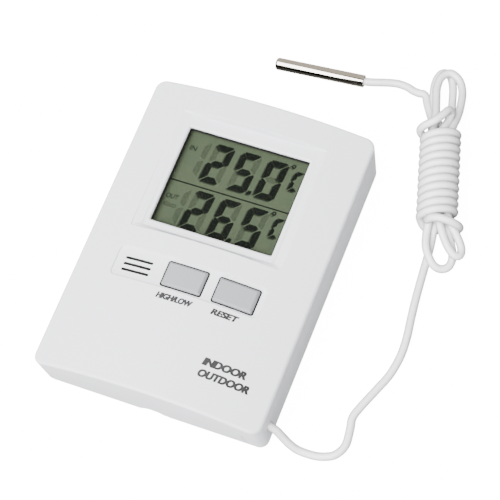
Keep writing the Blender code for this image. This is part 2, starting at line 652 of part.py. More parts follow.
def make_cord():
    cord_object("cord_lead", LEAD_ROUTE, CORD_RADIUS, "cord", spacing=2.4 * CORD_DIAMETER)
    cord_object("cord_probe_lead", PROBE_ROUTE, CORD_RADIUS, "cord", spacing=2.4 * CORD_DIAMETER)
    make_hank()
    wire_z = LEAD_ROUTE[0][2]
    for name, shift in (("sensor_wire_a", -0.7), ("sensor_wire_b", 0.7)):
        start = Vector((25.9 + shift, -43.6 + shift, wire_z))
        points = (start, start + Vector((-2.5, 0.3, 0.1)), start + Vector((-6.0, 4.0, 0.8)),
                  start + Vector((-8.0, 10.0, 1.8)), start + Vector((-8.6, 16.0, 2.4)),
                  start + Vector((-8.8, 21.4, 2.6)))
        cord_object(name, points, WIRE_RADIUS, "conductive_rubber", spacing=3.0)


def make_hank():
    """Plain solid of the tied hank: an outline with round ends, as high as its turns."""
    bm = bmesh.new()
    radius = HANK_WIDTH / 2
    along = Vector((-math.sin(HANK_ANGLE), math.cos(HANK_ANGLE), 0))
    across = Vector((along.y, -along.x, 0))
    middle = Vector((*HANK_MIDDLE, 0))
    outline = []
    for end, start_turn in ((HANK_ENDS[1] - radius, 0.0), (HANK_ENDS[0] + radius, math.pi)):
        for k in range(13):
            turn = start_turn + math.pi * k / 12
            outline.append(middle + along * (end + radius * math.sin(turn)) + across * radius * math.cos(turn))
    face = bm.faces.new([bm.verts.new(p) for p in outline])
    raised = bmesh.ops.extrude_face_region(bm, geom=[face])["geom"]
    for vertex in (item for item in raised if isinstance(item, bmesh.types.BMVert)):
        vertex.co.z += HANK_HEIGHT
    bmesh.ops.recalc_face_normals(bm, faces=bm.faces)
    new_object("cord_hank", bm, "cord", smooth=True)


def make_probe():
    """Steel sleeve with a round closed end, and the thermistor bead inside it."""
    along = (PROBE_END - PROBE_START).normalized()
    side = Vector((0, 0, 1)).cross(along)
    axis = (side, along.cross(side), along)
    length = (PROBE_END - PROBE_START).length
    outer = PROBE_RADIUS
    inner = outer - PROBE_WALL
    edge = 0.9
    turns = [math.pi / 2 * k / 4 for k in range(5)]
    nose = [(outer - edge + edge * math.cos(a), length - edge + edge * math.sin(a)) for a in turns]
    profile = [(0, length - 1.0), (inner, length - 1.0), (inner, 0), (outer, 0)] + nose + [(0, length)]
    new_object("probe_sleeve", turned(profile, PROBE_START, axis, sides=28), "steel", smooth=True)
    bead = ((0, 0), (0.7, 0.1), (1.0, 1.0), (0.9, 2.4), (0, 3.0))
    place = PROBE_END - along * 6.0
    new_object("thermistor", turned(bead, place, axis, sides=16), "resin", smooth=True)


def main():
    start_clean()
    make_front_cover()
    make_rear_cover()
    make_battery_door()
    make_stand()
    make_display()
    make_board()
    make_buttons()
    make_battery()
    make_battery_spring()
    make_screws()
    make_cord_clamp()
    make_cord()
    make_probe()


main()
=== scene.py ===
"""Finish of a maximum minimum thermometer: a crowned case, a two-row display and a probe on a cord.

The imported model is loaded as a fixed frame, and every piece made here is placed from it. Shapes are
modelled in millimetres, and new_item() turns them into metres.
"""
import json
import math
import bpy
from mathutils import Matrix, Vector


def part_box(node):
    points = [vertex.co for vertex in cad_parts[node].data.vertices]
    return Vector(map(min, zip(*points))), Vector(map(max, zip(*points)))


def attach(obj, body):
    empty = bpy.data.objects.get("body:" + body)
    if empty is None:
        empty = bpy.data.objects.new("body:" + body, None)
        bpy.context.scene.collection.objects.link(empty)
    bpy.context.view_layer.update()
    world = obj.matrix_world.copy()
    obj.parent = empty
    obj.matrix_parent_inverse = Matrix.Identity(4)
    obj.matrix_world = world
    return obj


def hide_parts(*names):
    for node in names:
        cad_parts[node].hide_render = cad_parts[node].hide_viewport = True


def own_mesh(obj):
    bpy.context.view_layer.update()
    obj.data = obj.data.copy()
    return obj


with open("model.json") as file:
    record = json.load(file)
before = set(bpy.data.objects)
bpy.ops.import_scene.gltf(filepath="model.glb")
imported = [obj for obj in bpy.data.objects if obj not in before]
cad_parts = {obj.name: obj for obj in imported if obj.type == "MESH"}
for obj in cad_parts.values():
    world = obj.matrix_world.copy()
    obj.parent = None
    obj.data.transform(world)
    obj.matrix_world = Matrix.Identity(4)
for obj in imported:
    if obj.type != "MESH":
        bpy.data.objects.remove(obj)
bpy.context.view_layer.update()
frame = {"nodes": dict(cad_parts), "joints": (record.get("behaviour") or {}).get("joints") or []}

from types import SimpleNamespace

import bmesh
import bpy
from mathutils import Matrix, Vector

bl_info = {
    "name": "Maximum Minimum Thermometer",
    "version": (1, 0, 0),
    "blender": (4, 5, 0),
    "location": "View3D > Sidebar > Thermometer",
    "description": "Builds the finished pieces of a two-row thermometer with a probe on a cord",
    "category": "Object",
}

MM = 0.001
GAP = 0.3                       # clearance between neighbouring pieces


# Places read from the frame, in millimetres

def frame_box(node):
    low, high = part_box(node)
    low, high = low / MM, high / MM
    return SimpleNamespace(x0=low.x, x1=high.x, y0=low.y, y1=high.y, z0=low.z, z1=high.z,
                           middle=(low + high) / 2)


def joint_place(name):
    joint = next(item for item in frame["joints"] if item["name"] == name)
    return Vector(joint["pos_m"]) / MM


CASE = frame_box("front_cover")
REAR = frame_box("rear_cover")
LENS = frame_box("window_lens")
PANEL_GLASS = frame_box("lcd_front_glass")
BOARD = frame_box("circuit_board")
CELL = frame_box("battery_cell")
DOOR = frame_box("battery_door")
STAND = frame_box("stand")
BUTTONS = {name: frame_box(name) for name in ("high_low_button", "reset_button")}
CASE_SCREWS = [frame_box(f"case_screw_{k}") for k in range(1, 5)]
BOARD_SCREWS = [frame_box(f"board_screw_{k}") for k in range(1, 5)]
CLAMP_SCREW = frame_box("clamp_screw")

LENS_MARGIN = (1.5, 1.8, 1.7, 1.45)      # how far the lens reaches past the window on each side
WINDOW = (LENS.x0 + LENS_MARGIN[0], LENS.x1 - LENS_MARGIN[1],
          LENS.y0 + LENS_MARGIN[2], LENS.y1 - LENS_MARGIN[3])
SCREEN_TOP = PANEL_GLASS.z1

# Places on the case that no node of the frame has for its own
PANEL = (-24.3, 24.3, -0.4, 41.0)
BACKING_HEIGHT = LENS.z1 + GAP
BUTTON_RECESS = (-24.2, 23.4, -17.2, -7.3)
BUTTON_FLANGE = 1.0
VENT_CENTRE = (-16.8, -12.75)
VENT_SIZE = (9.2, 0.9)
VENT_PITCH = 1.95
VENT_SLOTS = 3
ABOVE = CASE.z1 + 3.0           # clear of the highest point of the front
FINGER_NOTCH = (5.0, -1.0, -42.2)       # radius, height of its centre, inner end
SLIT = ((30.4, 3.9), (30.9, 3.9), (29.95, 10.3), (29.6, 10.3))    # outline on the lower wall, x and z
SLIT_REACH = (48.5, 52.0)       # how far below the middle it starts and ends

# Cord: where it leaves the case, and the stretches on each side of the hank
CORD_RADIUS = 1.3
LIE = CORD_RADIUS + 0.05
CORD_EXIT = (36.4, -43.6, 9.3)
LEAD_ROUTE = (
    (27.0, -43.6, 9.4), (31.0, -43.6, 9.4), (34.4, -43.6, 9.4), CORD_EXIT,
    (38.5, -43.9, 8.4), (40.7, -44.7, 6.5), (43.0, -45.5, 4.5), (45.6, -45.9, 2.8),
    (50.1, -45.6, 1.6), (53.5, -44.7, LIE), (56.2, -43.0, LIE), (57.8, -39.5, LIE),
    (57.4, -34.6, LIE), (56.8, -30.8, LIE), (57.9, -26.9, LIE),
    (60.4, -20.5, LIE), (62.6, -14.6, LIE), (63.6, -8.1, LIE),
    (63.4, -2.0, LIE), (62.5, 4.5, LIE), (61.7, 11.0, LIE), (61.0, 18.6, LIE))
PROBE_ROUTE = (
    (37.3, 77.7, LIE), (35.2, 78.4, LIE), (32.4, 78.7, LIE), (29.9, 78.4, 1.4),
    (26.5, 77.3, 1.8), (23.6, 76.4, 1.97), (21.4, 76.0, 2.0), (17.0, 75.67, 2.0), (13.4, 75.4, 2.0))
PROBE_START = Vector((21.4, 76.0, 2.0))
PROBE_END = Vector((-7.9, 73.8, 2.0))

# Hank, in its own directions: along it, across it and up, from its middle
HANK_MIDDLE = Vector((55.1, 51.4, 0.0))
HANK_ANGLE = math.radians(16.9)
STRAND_LOW, STRAND_HIGH = 3.9, 6.5
STRAND_ENDS = (-11.0, -4.0, 4.0, 11.0)
UPPER_LOOP_UNDER = (
    (16.2, -0.4, 3.4), (20.0, -1.6, 2.2), (25.0, -2.7, 1.5), (30.0, -3.1, LIE), (34.6, -2.3, LIE),
    (36.9, -0.4, LIE), (35.8, 1.9, LIE), (31.6, 2.9, LIE), (26.1, 2.9, LIE), (21.0, 2.7, 1.8),
    (16.8, 2.6, 2.9))
UPPER_LOOP_OVER = (
    (16.4, -2.2, 6.0), (20.2, -1.8, 5.5), (25.7, -1.9, 4.6), (30.1, -1.9, 4.1), (33.9, -0.7, 3.9),
    (35.6, 2.1, 3.6), (33.4, 4.9, 3.0), (29.2, 6.0, 2.8), (23.5, 5.6, 3.4), (19.0, 4.7, 4.4),
    (16.3, 3.9, 5.4))
LOWER_LOOP_UNDER = (
    (-15.4, 2.2, 3.9), (-18.6, 2.9, 3.9), (-22.8, 4.3, 2.9), (-26.9, 5.0, 1.6), (-30.0, 3.9, LIE),
    (-30.9, 1.4, 1.6), (-29.6, -1.0, 2.8), (-25.3, -2.9, 4.2), (-21.1, -3.0, 4.9), (-17.3, -2.4, 5.8),
    (-14.6, -2.5, 6.2))
LOWER_LOOP_OVER = (
    (-15.2, 3.3, 5.9), (-17.9, 4.4, 5.5), (-21.0, 6.2, 4.2), (-24.4, 7.6, 3.0), (-26.9, 7.3, 3.1),
    (-27.3, 5.7, 3.7), (-25.4, 4.0, 4.4), (-22.2, 2.4, 5.1), (-17.7, 0.9, 6.0), (-14.8, 0.1, 6.3))
OVER_THE_TOP = (
    (14.6, 0.9, 6.6), (17.2, 2.2, 6.3), (19.6, 3.1, 6.9), (19.7, 2.3, 8.7), (17.6, 0.6, 9.5),
    (15.4, -2.0, 9.6),
    (14.4, -4.9, 8.5), (13.9, -6.3, 6.5), (13.4, -5.9, 4.3))
WRAPS = 11
WRAP_PITCH = 2.62
WRAP_RADII = (5.2, 4.3)
WRAP_HEIGHT = 5.6
FIRST_WRAP = 11.5
WRAP_TILT = 0.35
LAST_TURN = (
    (-17.2, -3.9, 2.0), (-17.7, -1.2, LIE), (-18.0, 2.4, LIE), (-18.3, 5.4, 2.2), (-18.6, 6.9, 4.6),
    (-18.8, 6.4, 7.2), (-18.4, 4.2, 9.1), (-17.6, 1.2, 9.7), (-17.3, -1.2, 9.1), (-17.2, -2.6, 7.5),
    (-16.2, -3.1, 5.4), (-14.0, -2.8, 4.1))
TAIL = ((16.0, -3.0, 3.2), (19.8, -3.3, 2.2), (22.8, -4.1, 1.6), (26.1, -5.0, LIE), (28.2, -5.4, LIE),
        (29.3, -6.2, LIE), (29.5, -7.4, LIE))


# Settings

def length(name, millimetres, description):
    return bpy.props.FloatProperty(name=name, description=description, default=millimetres * MM,
                                   min=0.0, unit="LENGTH", precision=5)


def factor(name, value, description):
    return bpy.props.FloatProperty(name=name, description=description, default=value,
                                   min=0.0, max=1.0, subtype="FACTOR")


def colour(name, value, description):
    return bpy.props.FloatVectorProperty(name=name, description=description, default=value,
                                         size=3, min=0.0, max=1.0, subtype="COLOR")


class CaseSettings(bpy.types.PropertyGroup):
    """Sizes and colours of the case and its buttons."""
    side_height: length("Side height", 17.3, "Front edge above the back, at the two long sides")
    top_bulge: length("Top bulge", 4.2, "Extra height of the crowned front at the top end")
    bottom_bulge: length("Bottom bulge", 5.8, "Extra height of the crowned front at the bottom end")
    corner_radius: length("Corner radius", 3.2, "Radius of the four upright corners")
    edge_radius: length("Edge radius", 0.9, "Rounding between the front and the walls")
    rear_edge_radius: length("Rear edge radius", 0.9, "Rounding round the back face")
    soft_edge: length("Soft edge", 0.35, "Rounding along the panel and the button recess")
    wall: length("Wall", 2.0, "Thickness of the front cover")
    end_draft: length("End draft", 1.3, "How far the end walls lean in towards the back")
    panel_height: length("Panel height", 19.5, "Height of the sunk flat round the window")
    panel_ramp: length("Panel ramp", 1.6, "Run of the slope at the lower end of the panel")
    panel_side: length("Panel side", 2.6, "Run of the gentle slopes at the two sides of the panel")
    window_roll: length("Window roll", 0.75, "Rounding of the window's upper edge")
    recess_depth: length("Recess depth", 0.6, "Depth of the recess round the buttons")
    button_proud: length("Button height", 0.3, "How far the buttons stand above the front")
    button_bevel: length("Button bevel", 0.6, "Width of the bevel round the buttons")
    button_gap: length("Button gap", 0.5, "Gap round the buttons")
    white: colour("Case colour", (0.80, 0.815, 0.845), "Colour of the case")
    grey: colour("Button colour", (0.275, 0.285, 0.297), "Colour of the buttons")
    texture: factor("Texture", 0.35, "Strength of the moulded surface texture")


class DisplaySettings(bpy.types.PropertyGroup):
    """Sizes and colours of the display and the printing."""
    digit_height: length("Digit height", 13.3, "Height of the large digits")
    digit_width: length("Digit width", 6.5, "Width of the large digits")
    digit_pitch: length("Digit pitch", 8.95, "Distance from one digit to the next")
    stroke: length("Stroke", 1.9, "Width of a digit's bars")
    bar_gap: length("Bar gap", 0.24, "Gap between two bars")
    slant: factor("Slant", 0.06, "Sideways lean of the digits, as a share of their height")
    screen: colour("Screen colour", (0.050, 0.065, 0.041), "Colour of the blank screen")
    ink: colour("Bar colour", (0.002, 0.003, 0.002), "Colour of the bars that are on")
    print_height: length("Print height", 2.0, "Height of the capitals under the buttons")
    note_height: length("Note height", 2.55, "Height of the capitals at the lower right")


class CordSettings(bpy.types.PropertyGroup):
    """Sizes and colours of the cord and the probe."""
    point_spacing: length("Point spacing", 0.7, "Distance between points along the cord")
    probe_nose: length("Probe nose", 0.9, "Rounding of the closed end of the probe")
    probe_wall: length("Probe wall", 0.4, "Thickness of the steel sleeve")
    sheath: colour("Cord colour", (0.97, 0.97, 0.975), "Colour of the cord")
    steel: colour("Probe colour", (0.78, 0.75, 0.70), "Colour of the steel sleeve")


class StageSettings(bpy.types.PropertyGroup):
    """Floor, light and camera."""
    floor: colour("Floor colour", (0.93, 0.93, 0.93), "Colour of the floor")
    floor_size: length("Floor size", 3000.0, "Width of the square floor")
    lens: bpy.props.FloatProperty(name="Lens", description="Focal length of the camera in millimetres",
                                  default=143.4, min=1.0, unit="CAMERA")
    key_power: bpy.props.FloatProperty(name="Key power", description="Power of the key light in watts",
                                       default=27.0, min=0.0, unit="POWER")
    low_power: bpy.props.FloatProperty(name="Low power", description="Power of the low front light in watts",
                                       default=7.0, min=0.0, unit="POWER")
    floor_glow: bpy.props.FloatProperty(name="Floor glow", description="Light the camera sees in the floor",
                                        default=14.0, min=0.0)
    sky: bpy.props.FloatProperty(name="Sky", description="Strength of the light from all round",
                                 default=1.25, min=0.0)


class ThermometerSettings(bpy.types.PropertyGroup):
    """All settings of the thermometer."""
    case: bpy.props.PointerProperty(type=CaseSettings, name="Case", description="Case and buttons")
    display: bpy.props.PointerProperty(type=DisplaySettings, name="Display", description="Display")
    cord: bpy.props.PointerProperty(type=CordSettings, name="Cord", description="Cord and probe")
    stage: bpy.props.PointerProperty(type=StageSettings, name="Stage", description="Floor and light")


def sizes_of(group_name):
    """The settings of one group as plain values, with every length in millimetres."""
    group = getattr(bpy.context.scene.thermometer, group_name)
    values = {}
    for name in group.bl_rna.properties.keys():
        if name in ("rna_type", "name"):
            continue
        value = getattr(group, name)
        if group.bl_rna.properties[name].unit == "LENGTH":
            value = value / MM
        values[name] = value
    return SimpleNamespace(**values)


# Node trees

class Value:
    """An output socket. Arithmetic on it adds Math nodes."""

    def __init__(self, maker, socket):
        self.maker = maker
        self.socket = socket

    def math(self, operation, first, second):
        return self.maker.node("ShaderNodeMath", {"operation": operation}, {0: first, 1: second})

    def __add__(self, other):
        return self.math("ADD", self, other)

    def __radd__(self, other):
        return self.math("ADD", other, self)

    def __sub__(self, other):
        return self.math("SUBTRACT", self, other)

    def __rsub__(self, other):
        return self.math("SUBTRACT", other, self)

    def __mul__(self, other):
        return self.math("MULTIPLY", self, other)

    def __rmul__(self, other):
        return self.math("MULTIPLY", other, self)

    def __truediv__(self, other):
        return self.math("DIVIDE", self, other)

    def __gt__(self, other):
        return self.math("GREATER_THAN", self, other)

    def __lt__(self, other):
        return self.math("LESS_THAN", self, other)


class Maker:
    """Adds nodes to one tree."""

    def __init__(self, tree):
        self.tree = tree

    def feed(self, socket, value):
        for item in value if isinstance(value, list) else [value]:
            if isinstance(item, Value):
                self.tree.links.new(item.socket, socket)
            else:
                socket.default_value = item

    def node(self, kind, settings=None, inputs=None, output=0):
        node = self.tree.nodes.new(kind)
        for name, setting in (settings or {}).items():
            if name == "stops":
                self.set_stops(node.color_ramp, setting)
            else:
                setattr(node, name, setting)
        for name, value in (inputs or {}).items():
            self.feed(node.inputs[name], value)
        return Value(self, node.outputs[output])

    @staticmethod
    def set_stops(ramp, stops):
        for element, (place, shade) in zip(ramp.elements, stops):
            element.position = place
            element.color = (*shade, 1.0)
        for place, shade in stops[2:]:
            ramp.elements.new(place).color = (*shade, 1.0)


class Finish(Maker):
    """A material with one Principled shader, and the patterns that its nodes share."""

    def __init__(self, name, **constants):
        self.material = bpy.data.materials.new(name)
        self.material.use_nodes = True
        super().__init__(self.material.node_tree)
        self.shader = self.tree.nodes["Principled BSDF"]
        for socket, value in constants.items():
            self.shader.inputs[socket.replace("_", " ")].default_value = value
        self.place = self.node("ShaderNodeTexCoord", output="Object")

    def noise(self, scale, detail=2.0, place=None):
        return self.node("ShaderNodeTexNoise", None, {
            "Vector": place or self.place, "Scale": scale, "Detail": detail, "Roughness": 0.55})

    def stretched(self, scale, turn=0.0):
        return self.node("ShaderNodeMapping", None, {
            "Vector": self.place, "Scale": scale, "Rotation": (0.0, 0.0, turn)})

    def mix(self, share, first, second):
        first, second = [value if isinstance(value, Value) else (*value, 1.0) for value in (first, second)]
        return self.node("ShaderNodeMix", {"data_type": "RGBA", "clamp_factor": True},
                         {0: share, 6: first, 7: second}, output=2)

    def tint(self, shade, spread, scale=60.0):
        """The colour with slow, faint variation over the surface."""
        dark = [channel * (1 - spread) for channel in shade]
        light = [min(1.0, channel * (1 + spread)) for channel in shade]
        return self.mix(self.noise(scale, 3.0), dark, light)

    def bump(self, height, distance, strength=1.0):
        return self.node("ShaderNodeBump", None, {
            "Height": height, "Distance": distance * MM, "Strength": strength})

    def use(self, **links):
        for socket, value in links.items():
            self.feed(self.shader.inputs[socket.replace("_", " ")], value)
        return self.material


def moulded_plastic(name, shade, roughness, texture, spread=0.012):
    """Moulded plastic: spark-eroded texture, slow flow marks and a slightly uneven sheen."""
    finish = Finish(name, Specular_IOR_Level=0.5)
    grain = finish.noise(2600.0, 3.0)
    flow = finish.noise(110.0, 2.0)
    height = grain * 0.7 + flow * 0.3
    return finish.use(
        Base_Color=finish.tint(shade, spread),
        Roughness=roughness - 0.05 + grain * 0.06 + flow * 0.05,
        Normal=finish.bump(height, 0.05, texture))


def clear_plastic(name):
    """Clear moulded window with a faint haze."""
    finish = Finish(name, Base_Color=(0.02, 0.022, 0.02, 1.0), IOR=1.49)
    haze = finish.noise(140.0, 4.0)
    return finish.use(Alpha=0.025 + haze * 0.03, Roughness=0.06 + haze * 0.1)


def screen_film(name, shade):
    """Olive polariser over the reflector: cloudy and finely grained."""
    finish = Finish(name, Specular_IOR_Level=0.06)
    cloud = finish.noise(120.0, 4.0)
    speckle = finish.noise(5200.0, 1.0)
    warm = [shade[0] * 1.12, shade[1] * 1.05, shade[2] * 0.98]
    cool = [shade[0] * 0.9, shade[1] * 0.97, shade[2] * 0.95]
    return finish.use(
        Base_Color=finish.mix(cloud, cool, warm),
        Roughness=0.42 + speckle * 0.1,
        Normal=finish.bump(speckle, 0.01, 0.3))


def screen_ink(name, shade, alpha=1.0):
    """Liquid crystal that is on, the faint trace of a bar that is off, or the painted shadow of a bar on the
    reflector.
    """
    finish = Finish(name, Specular_IOR_Level=0.04)
    cloud = finish.noise(900.0, 2.0)
    lighter = [channel * 1.9 for channel in shade]
    return finish.use(
        Base_Color=finish.mix(cloud, shade, lighter),
        Roughness=0.38 + cloud * 0.1,
        Alpha=alpha - 0.04 + cloud * 0.08 if alpha < 1.0 else 1.0)


def printed_ink(name):
    """Pad-printed black: nearly matt and slightly mottled."""
    finish = Finish(name)
    mottle = finish.noise(3200.0, 3.0)
    return finish.use(
        Base_Color=finish.mix(mottle, (0.006, 0.006, 0.007), (0.022, 0.022, 0.024)),
        Roughness=0.42 + mottle * 0.16,
        Normal=finish.bump(mottle, 0.008, 0.5))


def sheath_plastic(name, shade):
    """Soft white sheath: glossy, with painted shade that greys it towards its outline, faint extrusion marks
    and haze.
    """
    finish = Finish(name, Specular_IOR_Level=0.6)
    # Painted shade: the colour turns grey where the surface turns away from the view, drawing a dark outline
    # round the cord
    edge = finish.node("ShaderNodeLayerWeight", None, {"Blend": 0.5}, output=1)
    painted_outline_shade = [channel * 0.3 for channel in shade]
    haze = finish.noise(260.0, 3.0)
    drag = finish.noise(1700.0, 2.0)
    return finish.use(
        Base_Color=finish.mix(edge * 1.2, finish.tint(shade, 0.015, 150.0), painted_outline_shade),
        Roughness=0.22 + haze * 0.14,
        Coat_Weight=0.15 + haze * 0.1,
        Normal=finish.bump(drag, 0.02, 0.25))


def drawn_steel(name, shade, along, roughness=0.07):
    """Drawn and polished steel with fine lines along its length."""
    finish = Finish(name, Metallic=1.0)
    lines = finish.noise(900.0, 3.0, finish.stretched((0.03, 1.0, 1.0), along))
    stain = finish.noise(220.0, 3.0)
    dull = [channel * 0.86 for channel in shade]
    return finish.use(
        Base_Color=finish.mix(stain, dull, shade),
        Roughness=roughness - 0.04 + lines * 0.05 + stain * 0.06,
        Normal=finish.bump(lines, 0.012, 0.35))


def plated_steel(name, shade=(0.62, 0.60, 0.57)):
    """Plated steel fastener: bright, mottled and dulled by tumbling."""
    finish = Finish(name, Metallic=1.0)
    mottle = finish.noise(1400.0, 4.0)
    stain = finish.noise(350.0, 2.0)
    warm = [shade[0] * 0.92, shade[1] * 0.86, shade[2] * 0.76]
    return finish.use(
        Base_Color=finish.mix(stain, warm, shade),
        Roughness=0.2 + mottle * 0.22,
        Normal=finish.bump(mottle, 0.012, 0.5))


def rubber(name, shade, roughness=0.6):
    """Dusty matt rubber."""
    finish = Finish(name, Specular_IOR_Level=0.3)
    dust = finish.noise(700.0, 5.0)
    return finish.use(
        Base_Color=finish.tint(shade, 0.08, 320.0),
        Roughness=roughness + dust * 0.15,
        Normal=finish.bump(dust, 0.02, 0.6))


def resin(name):
    """Black resin that has set with a slightly wavy skin."""
    finish = Finish(name)
    wave = finish.noise(420.0, 2.0)
    return finish.use(
        Base_Color=finish.mix(wave, (0.008, 0.008, 0.009), (0.022, 0.021, 0.022)),
        Roughness=0.16 + wave * 0.2,
        Normal=finish.bump(wave, 0.1, 0.5))


def board_laminate(name):
    """Green solder resist over copper tracks on a glass-fibre board."""
    finish = Finish(name, Specular_IOR_Level=0.5)
    tracks = finish.node("ShaderNodeTexBrick", {"offset": 0.37, "squash": 1.6}, {
        "Vector": finish.place, "Scale": 260.0, "Mortar Size": 0.09, "Mortar Smooth": 0.15}, output=1)
    weave = finish.node("ShaderNodeTexWave", {"bands_direction": "DIAGONAL"}, {
        "Vector": finish.place, "Scale": 900.0, "Distortion": 0.6})
    resist = finish.mix(tracks, (0.03, 0.17, 0.06), (0.07, 0.30, 0.11))
    return finish.use(
        Base_Color=finish.mix(weave * 0.25, resist, (0.10, 0.26, 0.10)),
        Roughness=0.3 + weave * 0.12,
        Normal=finish.bump(tracks + weave * 0.15, 0.03, 0.7))


def cell_wrap(name):
    """Printed-film wrap with a bright band at the raised end and bare steel end faces."""
    finish = Finish(name)
    along = finish.node("ShaderNodeSeparateXYZ", None, {"Vector": finish.place})
    band = along < (CELL.x0 + 11.0) * MM
    thin_line = (along > (CELL.x0 + 11.0) * MM) * (along < (CELL.x0 + 11.7) * MM)
    end_face = (along < (CELL.x0 + 1.1) * MM) + (along > (CELL.x1 - 0.25) * MM)
    scuff = finish.noise(500.0, 5.0)
    film = finish.mix(band, (0.035, 0.11, 0.075), (0.62, 0.47, 0.16))
    film = finish.mix(thin_line, film, (0.80, 0.80, 0.78))
    film = finish.mix(scuff * 0.2, film, (0.30, 0.32, 0.30))
    return finish.use(
        Base_Color=finish.mix(end_face, film, (0.66, 0.65, 0.62)),
        Metallic=end_face * 0.95,
        Roughness=0.24 + scuff * 0.18,
        Normal=finish.bump(scuff, 0.01, 0.5))


def glass_sheet(name, shade):
    """Thin display glass, slightly tinted."""
    finish = Finish(name, IOR=1.5)
    haze = finish.noise(300.0, 3.0)
    return finish.use(Base_Color=finish.tint(shade, 0.05, 200.0), Alpha=0.3 + haze * 0.1,
                      Roughness=0.05 + haze * 0.05)


def reflector_film(name):
    """Brushed reflector behind the display."""
    finish = Finish(name, Metallic=0.4)
    brushed = finish.noise(1500.0, 3.0, finish.stretched((1.0, 0.04, 1.0)))
    return finish.use(
        Base_Color=finish.mix(brushed, (0.28, 0.32, 0.23), (0.38, 0.42, 0.31)),
        Roughness=0.3 + brushed * 0.2,
        Normal=finish.bump(brushed, 0.01, 0.5))


# Shapes, each a closed bmesh in millimetres

def chains(box, radius, across, corner):
    """The lower and upper halves of a rounded rectangle, left to right on the same stations."""
    x0, x1, y0, y1 = box
    turns = [math.pi / 2 * k / corner for k in range(corner + 1)] if radius else [0.0]
    steps = [(radius * (1 - math.cos(a)), radius * (1 - math.sin(a))) for a in turns]
    reach = x1 - x0 - 2 * radius
    stations = [(x0 + along, inset) for along, inset in steps]
    stations += [(x0 + radius + reach * k / across, 0.0) for k in range(1, across)]
    stations += [(x1 - along, inset) for along, inset in reversed(steps)]
    return [(x, y0 + inset) for x, inset in stations], [(x, y1 - inset) for x, inset in stations]


def loft(box, layers, radius=0.0, across=1, corner=6):
    """Stacked rounded rectangles. A layer is (inset at the sides, low end, high end, height)."""
    bm = bmesh.new()
    rings = []
    for side, low_end, high_end, height in layers:
        x0, x1, y0, y1 = box
        inset_box = (x0 + side, x1 - side, y0 + low_end, y1 - high_end)
        halves = chains(inset_box, max(radius - side, 0.05) if radius else 0.0, across, corner)
        level = height if callable(height) else (lambda x, y, fixed=height: fixed)
        rings.append([[bm.verts.new((x, y, level(x, y))) for x, y in half] for half in halves])
    for (low, high), (low_up, high_up) in zip(rings, rings[1:]):
        loop = low + high[::-1]
        loop_up = low_up + high_up[::-1]
        for k, vertex in enumerate(loop):
            n = (k + 1) % len(loop)
            bm.faces.new((vertex, loop[n], loop_up[n], loop_up[k]))
    low, high = rings[0]
    for k in range(len(low) - 1):
        bm.faces.new((low[k], high[k], high[k + 1], low[k + 1]))
    low, high = rings[-1]
    for k in range(len(low) - 1):
        bm.faces.new((low[k], low[k + 1], high[k + 1], high[k]))
    bmesh.ops.triangulate(bm, faces=bm.faces)
    return bm


def block(box, layers, radius=0.0, across=1, corner=6):
    """The same with equal insets at both ends. A layer is (side inset, end inset, height)."""
    return loft(box, [(side, end, end, height) for side, end, height in layers], radius, across, corner)


def box_shape(x0, x1, y0, y1, z0, z1):
    return block((x0, x1, y0, y1), ((0, 0, z0), (0, 0, z1)))


def quarter(radius, steps):
    """(inset, drop) along a rounded edge, from its side to its top."""
    turns = [math.pi / 2 * k / steps for k in range(steps + 1)]
    return [(radius * (1 - math.cos(a)), radius * (1 - math.sin(a))) for a in turns]


def rounded_top(radius, height, steps=6):
    return [(inset, inset, (lambda x, y, drop=drop: height(x, y) - drop))
            for inset, drop in quarter(radius, steps)]


def rounded_bottom(radius, height, steps=6, side=0.0, end=0.0):
    return [(side + inset, end + inset, height + drop) for inset, drop in reversed(quarter(radius, steps))]


def flare(radius, height, steps=6):
    """Upper layers of a cutter that roll outwards, so that the cut's edge is left rounded."""
    layers = [(-inset, -inset, (lambda x, y, drop=drop: height(x, y) - drop))
              for inset, drop in quarter(radius, steps)[:-1]]
    return layers + [(*layers[-1][:2], ABOVE)]


def turned(profile, centre, axis="Z", sides=48):
    """Solid of revolution. The profile runs from the axis back to the axis as (radius, along)."""
    frames = {
        "X": (Vector((0, 1, 0)), Vector((0, 0, 1)), Vector((1, 0, 0))),
        "Y": (Vector((0, 0, 1)), Vector((1, 0, 0)), Vector((0, 1, 0))),
        "Z": (Vector((1, 0, 0)), Vector((0, 1, 0)), Vector((0, 0, 1)))}
    right, up, along = frames[axis] if isinstance(axis, str) else axis
    bm = bmesh.new()
    rings = []
    for radius, height in profile:
        middle = Vector(centre) + along * height
        count = 1 if radius < 1e-6 else sides
        turns = [2 * math.pi * k / sides for k in range(count)]
        rings.append([bm.verts.new(middle + right * (radius * math.cos(a)) + up * (radius * math.sin(a)))
                      for a in turns])
    for first, second in zip(rings, rings[1:]):
        for k in range(sides):
            n = (k + 1) % sides
            if len(first) == 1:
                bm.faces.new((first[0], second[n], second[k]))
            elif len(second) == 1:
                bm.faces.new((first[k], first[n], second[0]))
            else:
                bm.faces.new((first[k], first[n], second[n], second[k]))
    return bm


def rod(radius, centre, reach, axis="Z", sides=48):
    return turned(((0, 0), (radius, 0), (radius, reach), (0, reach)), centre, axis, sides)


def plate(outline, z0, z1):
    """Flat closed plate from an outline that runs anticlockwise."""
    bm = bmesh.new()
    low = [bm.verts.new((x, y, z0)) for x, y in outline]
    high = [bm.verts.new((x, y, z1)) for x, y in outline]
    bm.faces.new(low[::-1])
    bm.faces.new(high)
    for k, vertex in enumerate(low):
        n = (k + 1) % len(low)
        bm.faces.new((vertex, low[n], high[n], high[k]))
    return bm


def joined(shapes):
    """One bmesh that holds several separate closed shapes."""
    whole = bmesh.new()
    for bm in shapes:
        mesh = bpy.data.meshes.new("part")
        bm.to_mesh(mesh)
        bm.free()
        whole.from_mesh(mesh)
        bpy.data.meshes.remove(mesh)
    return whole


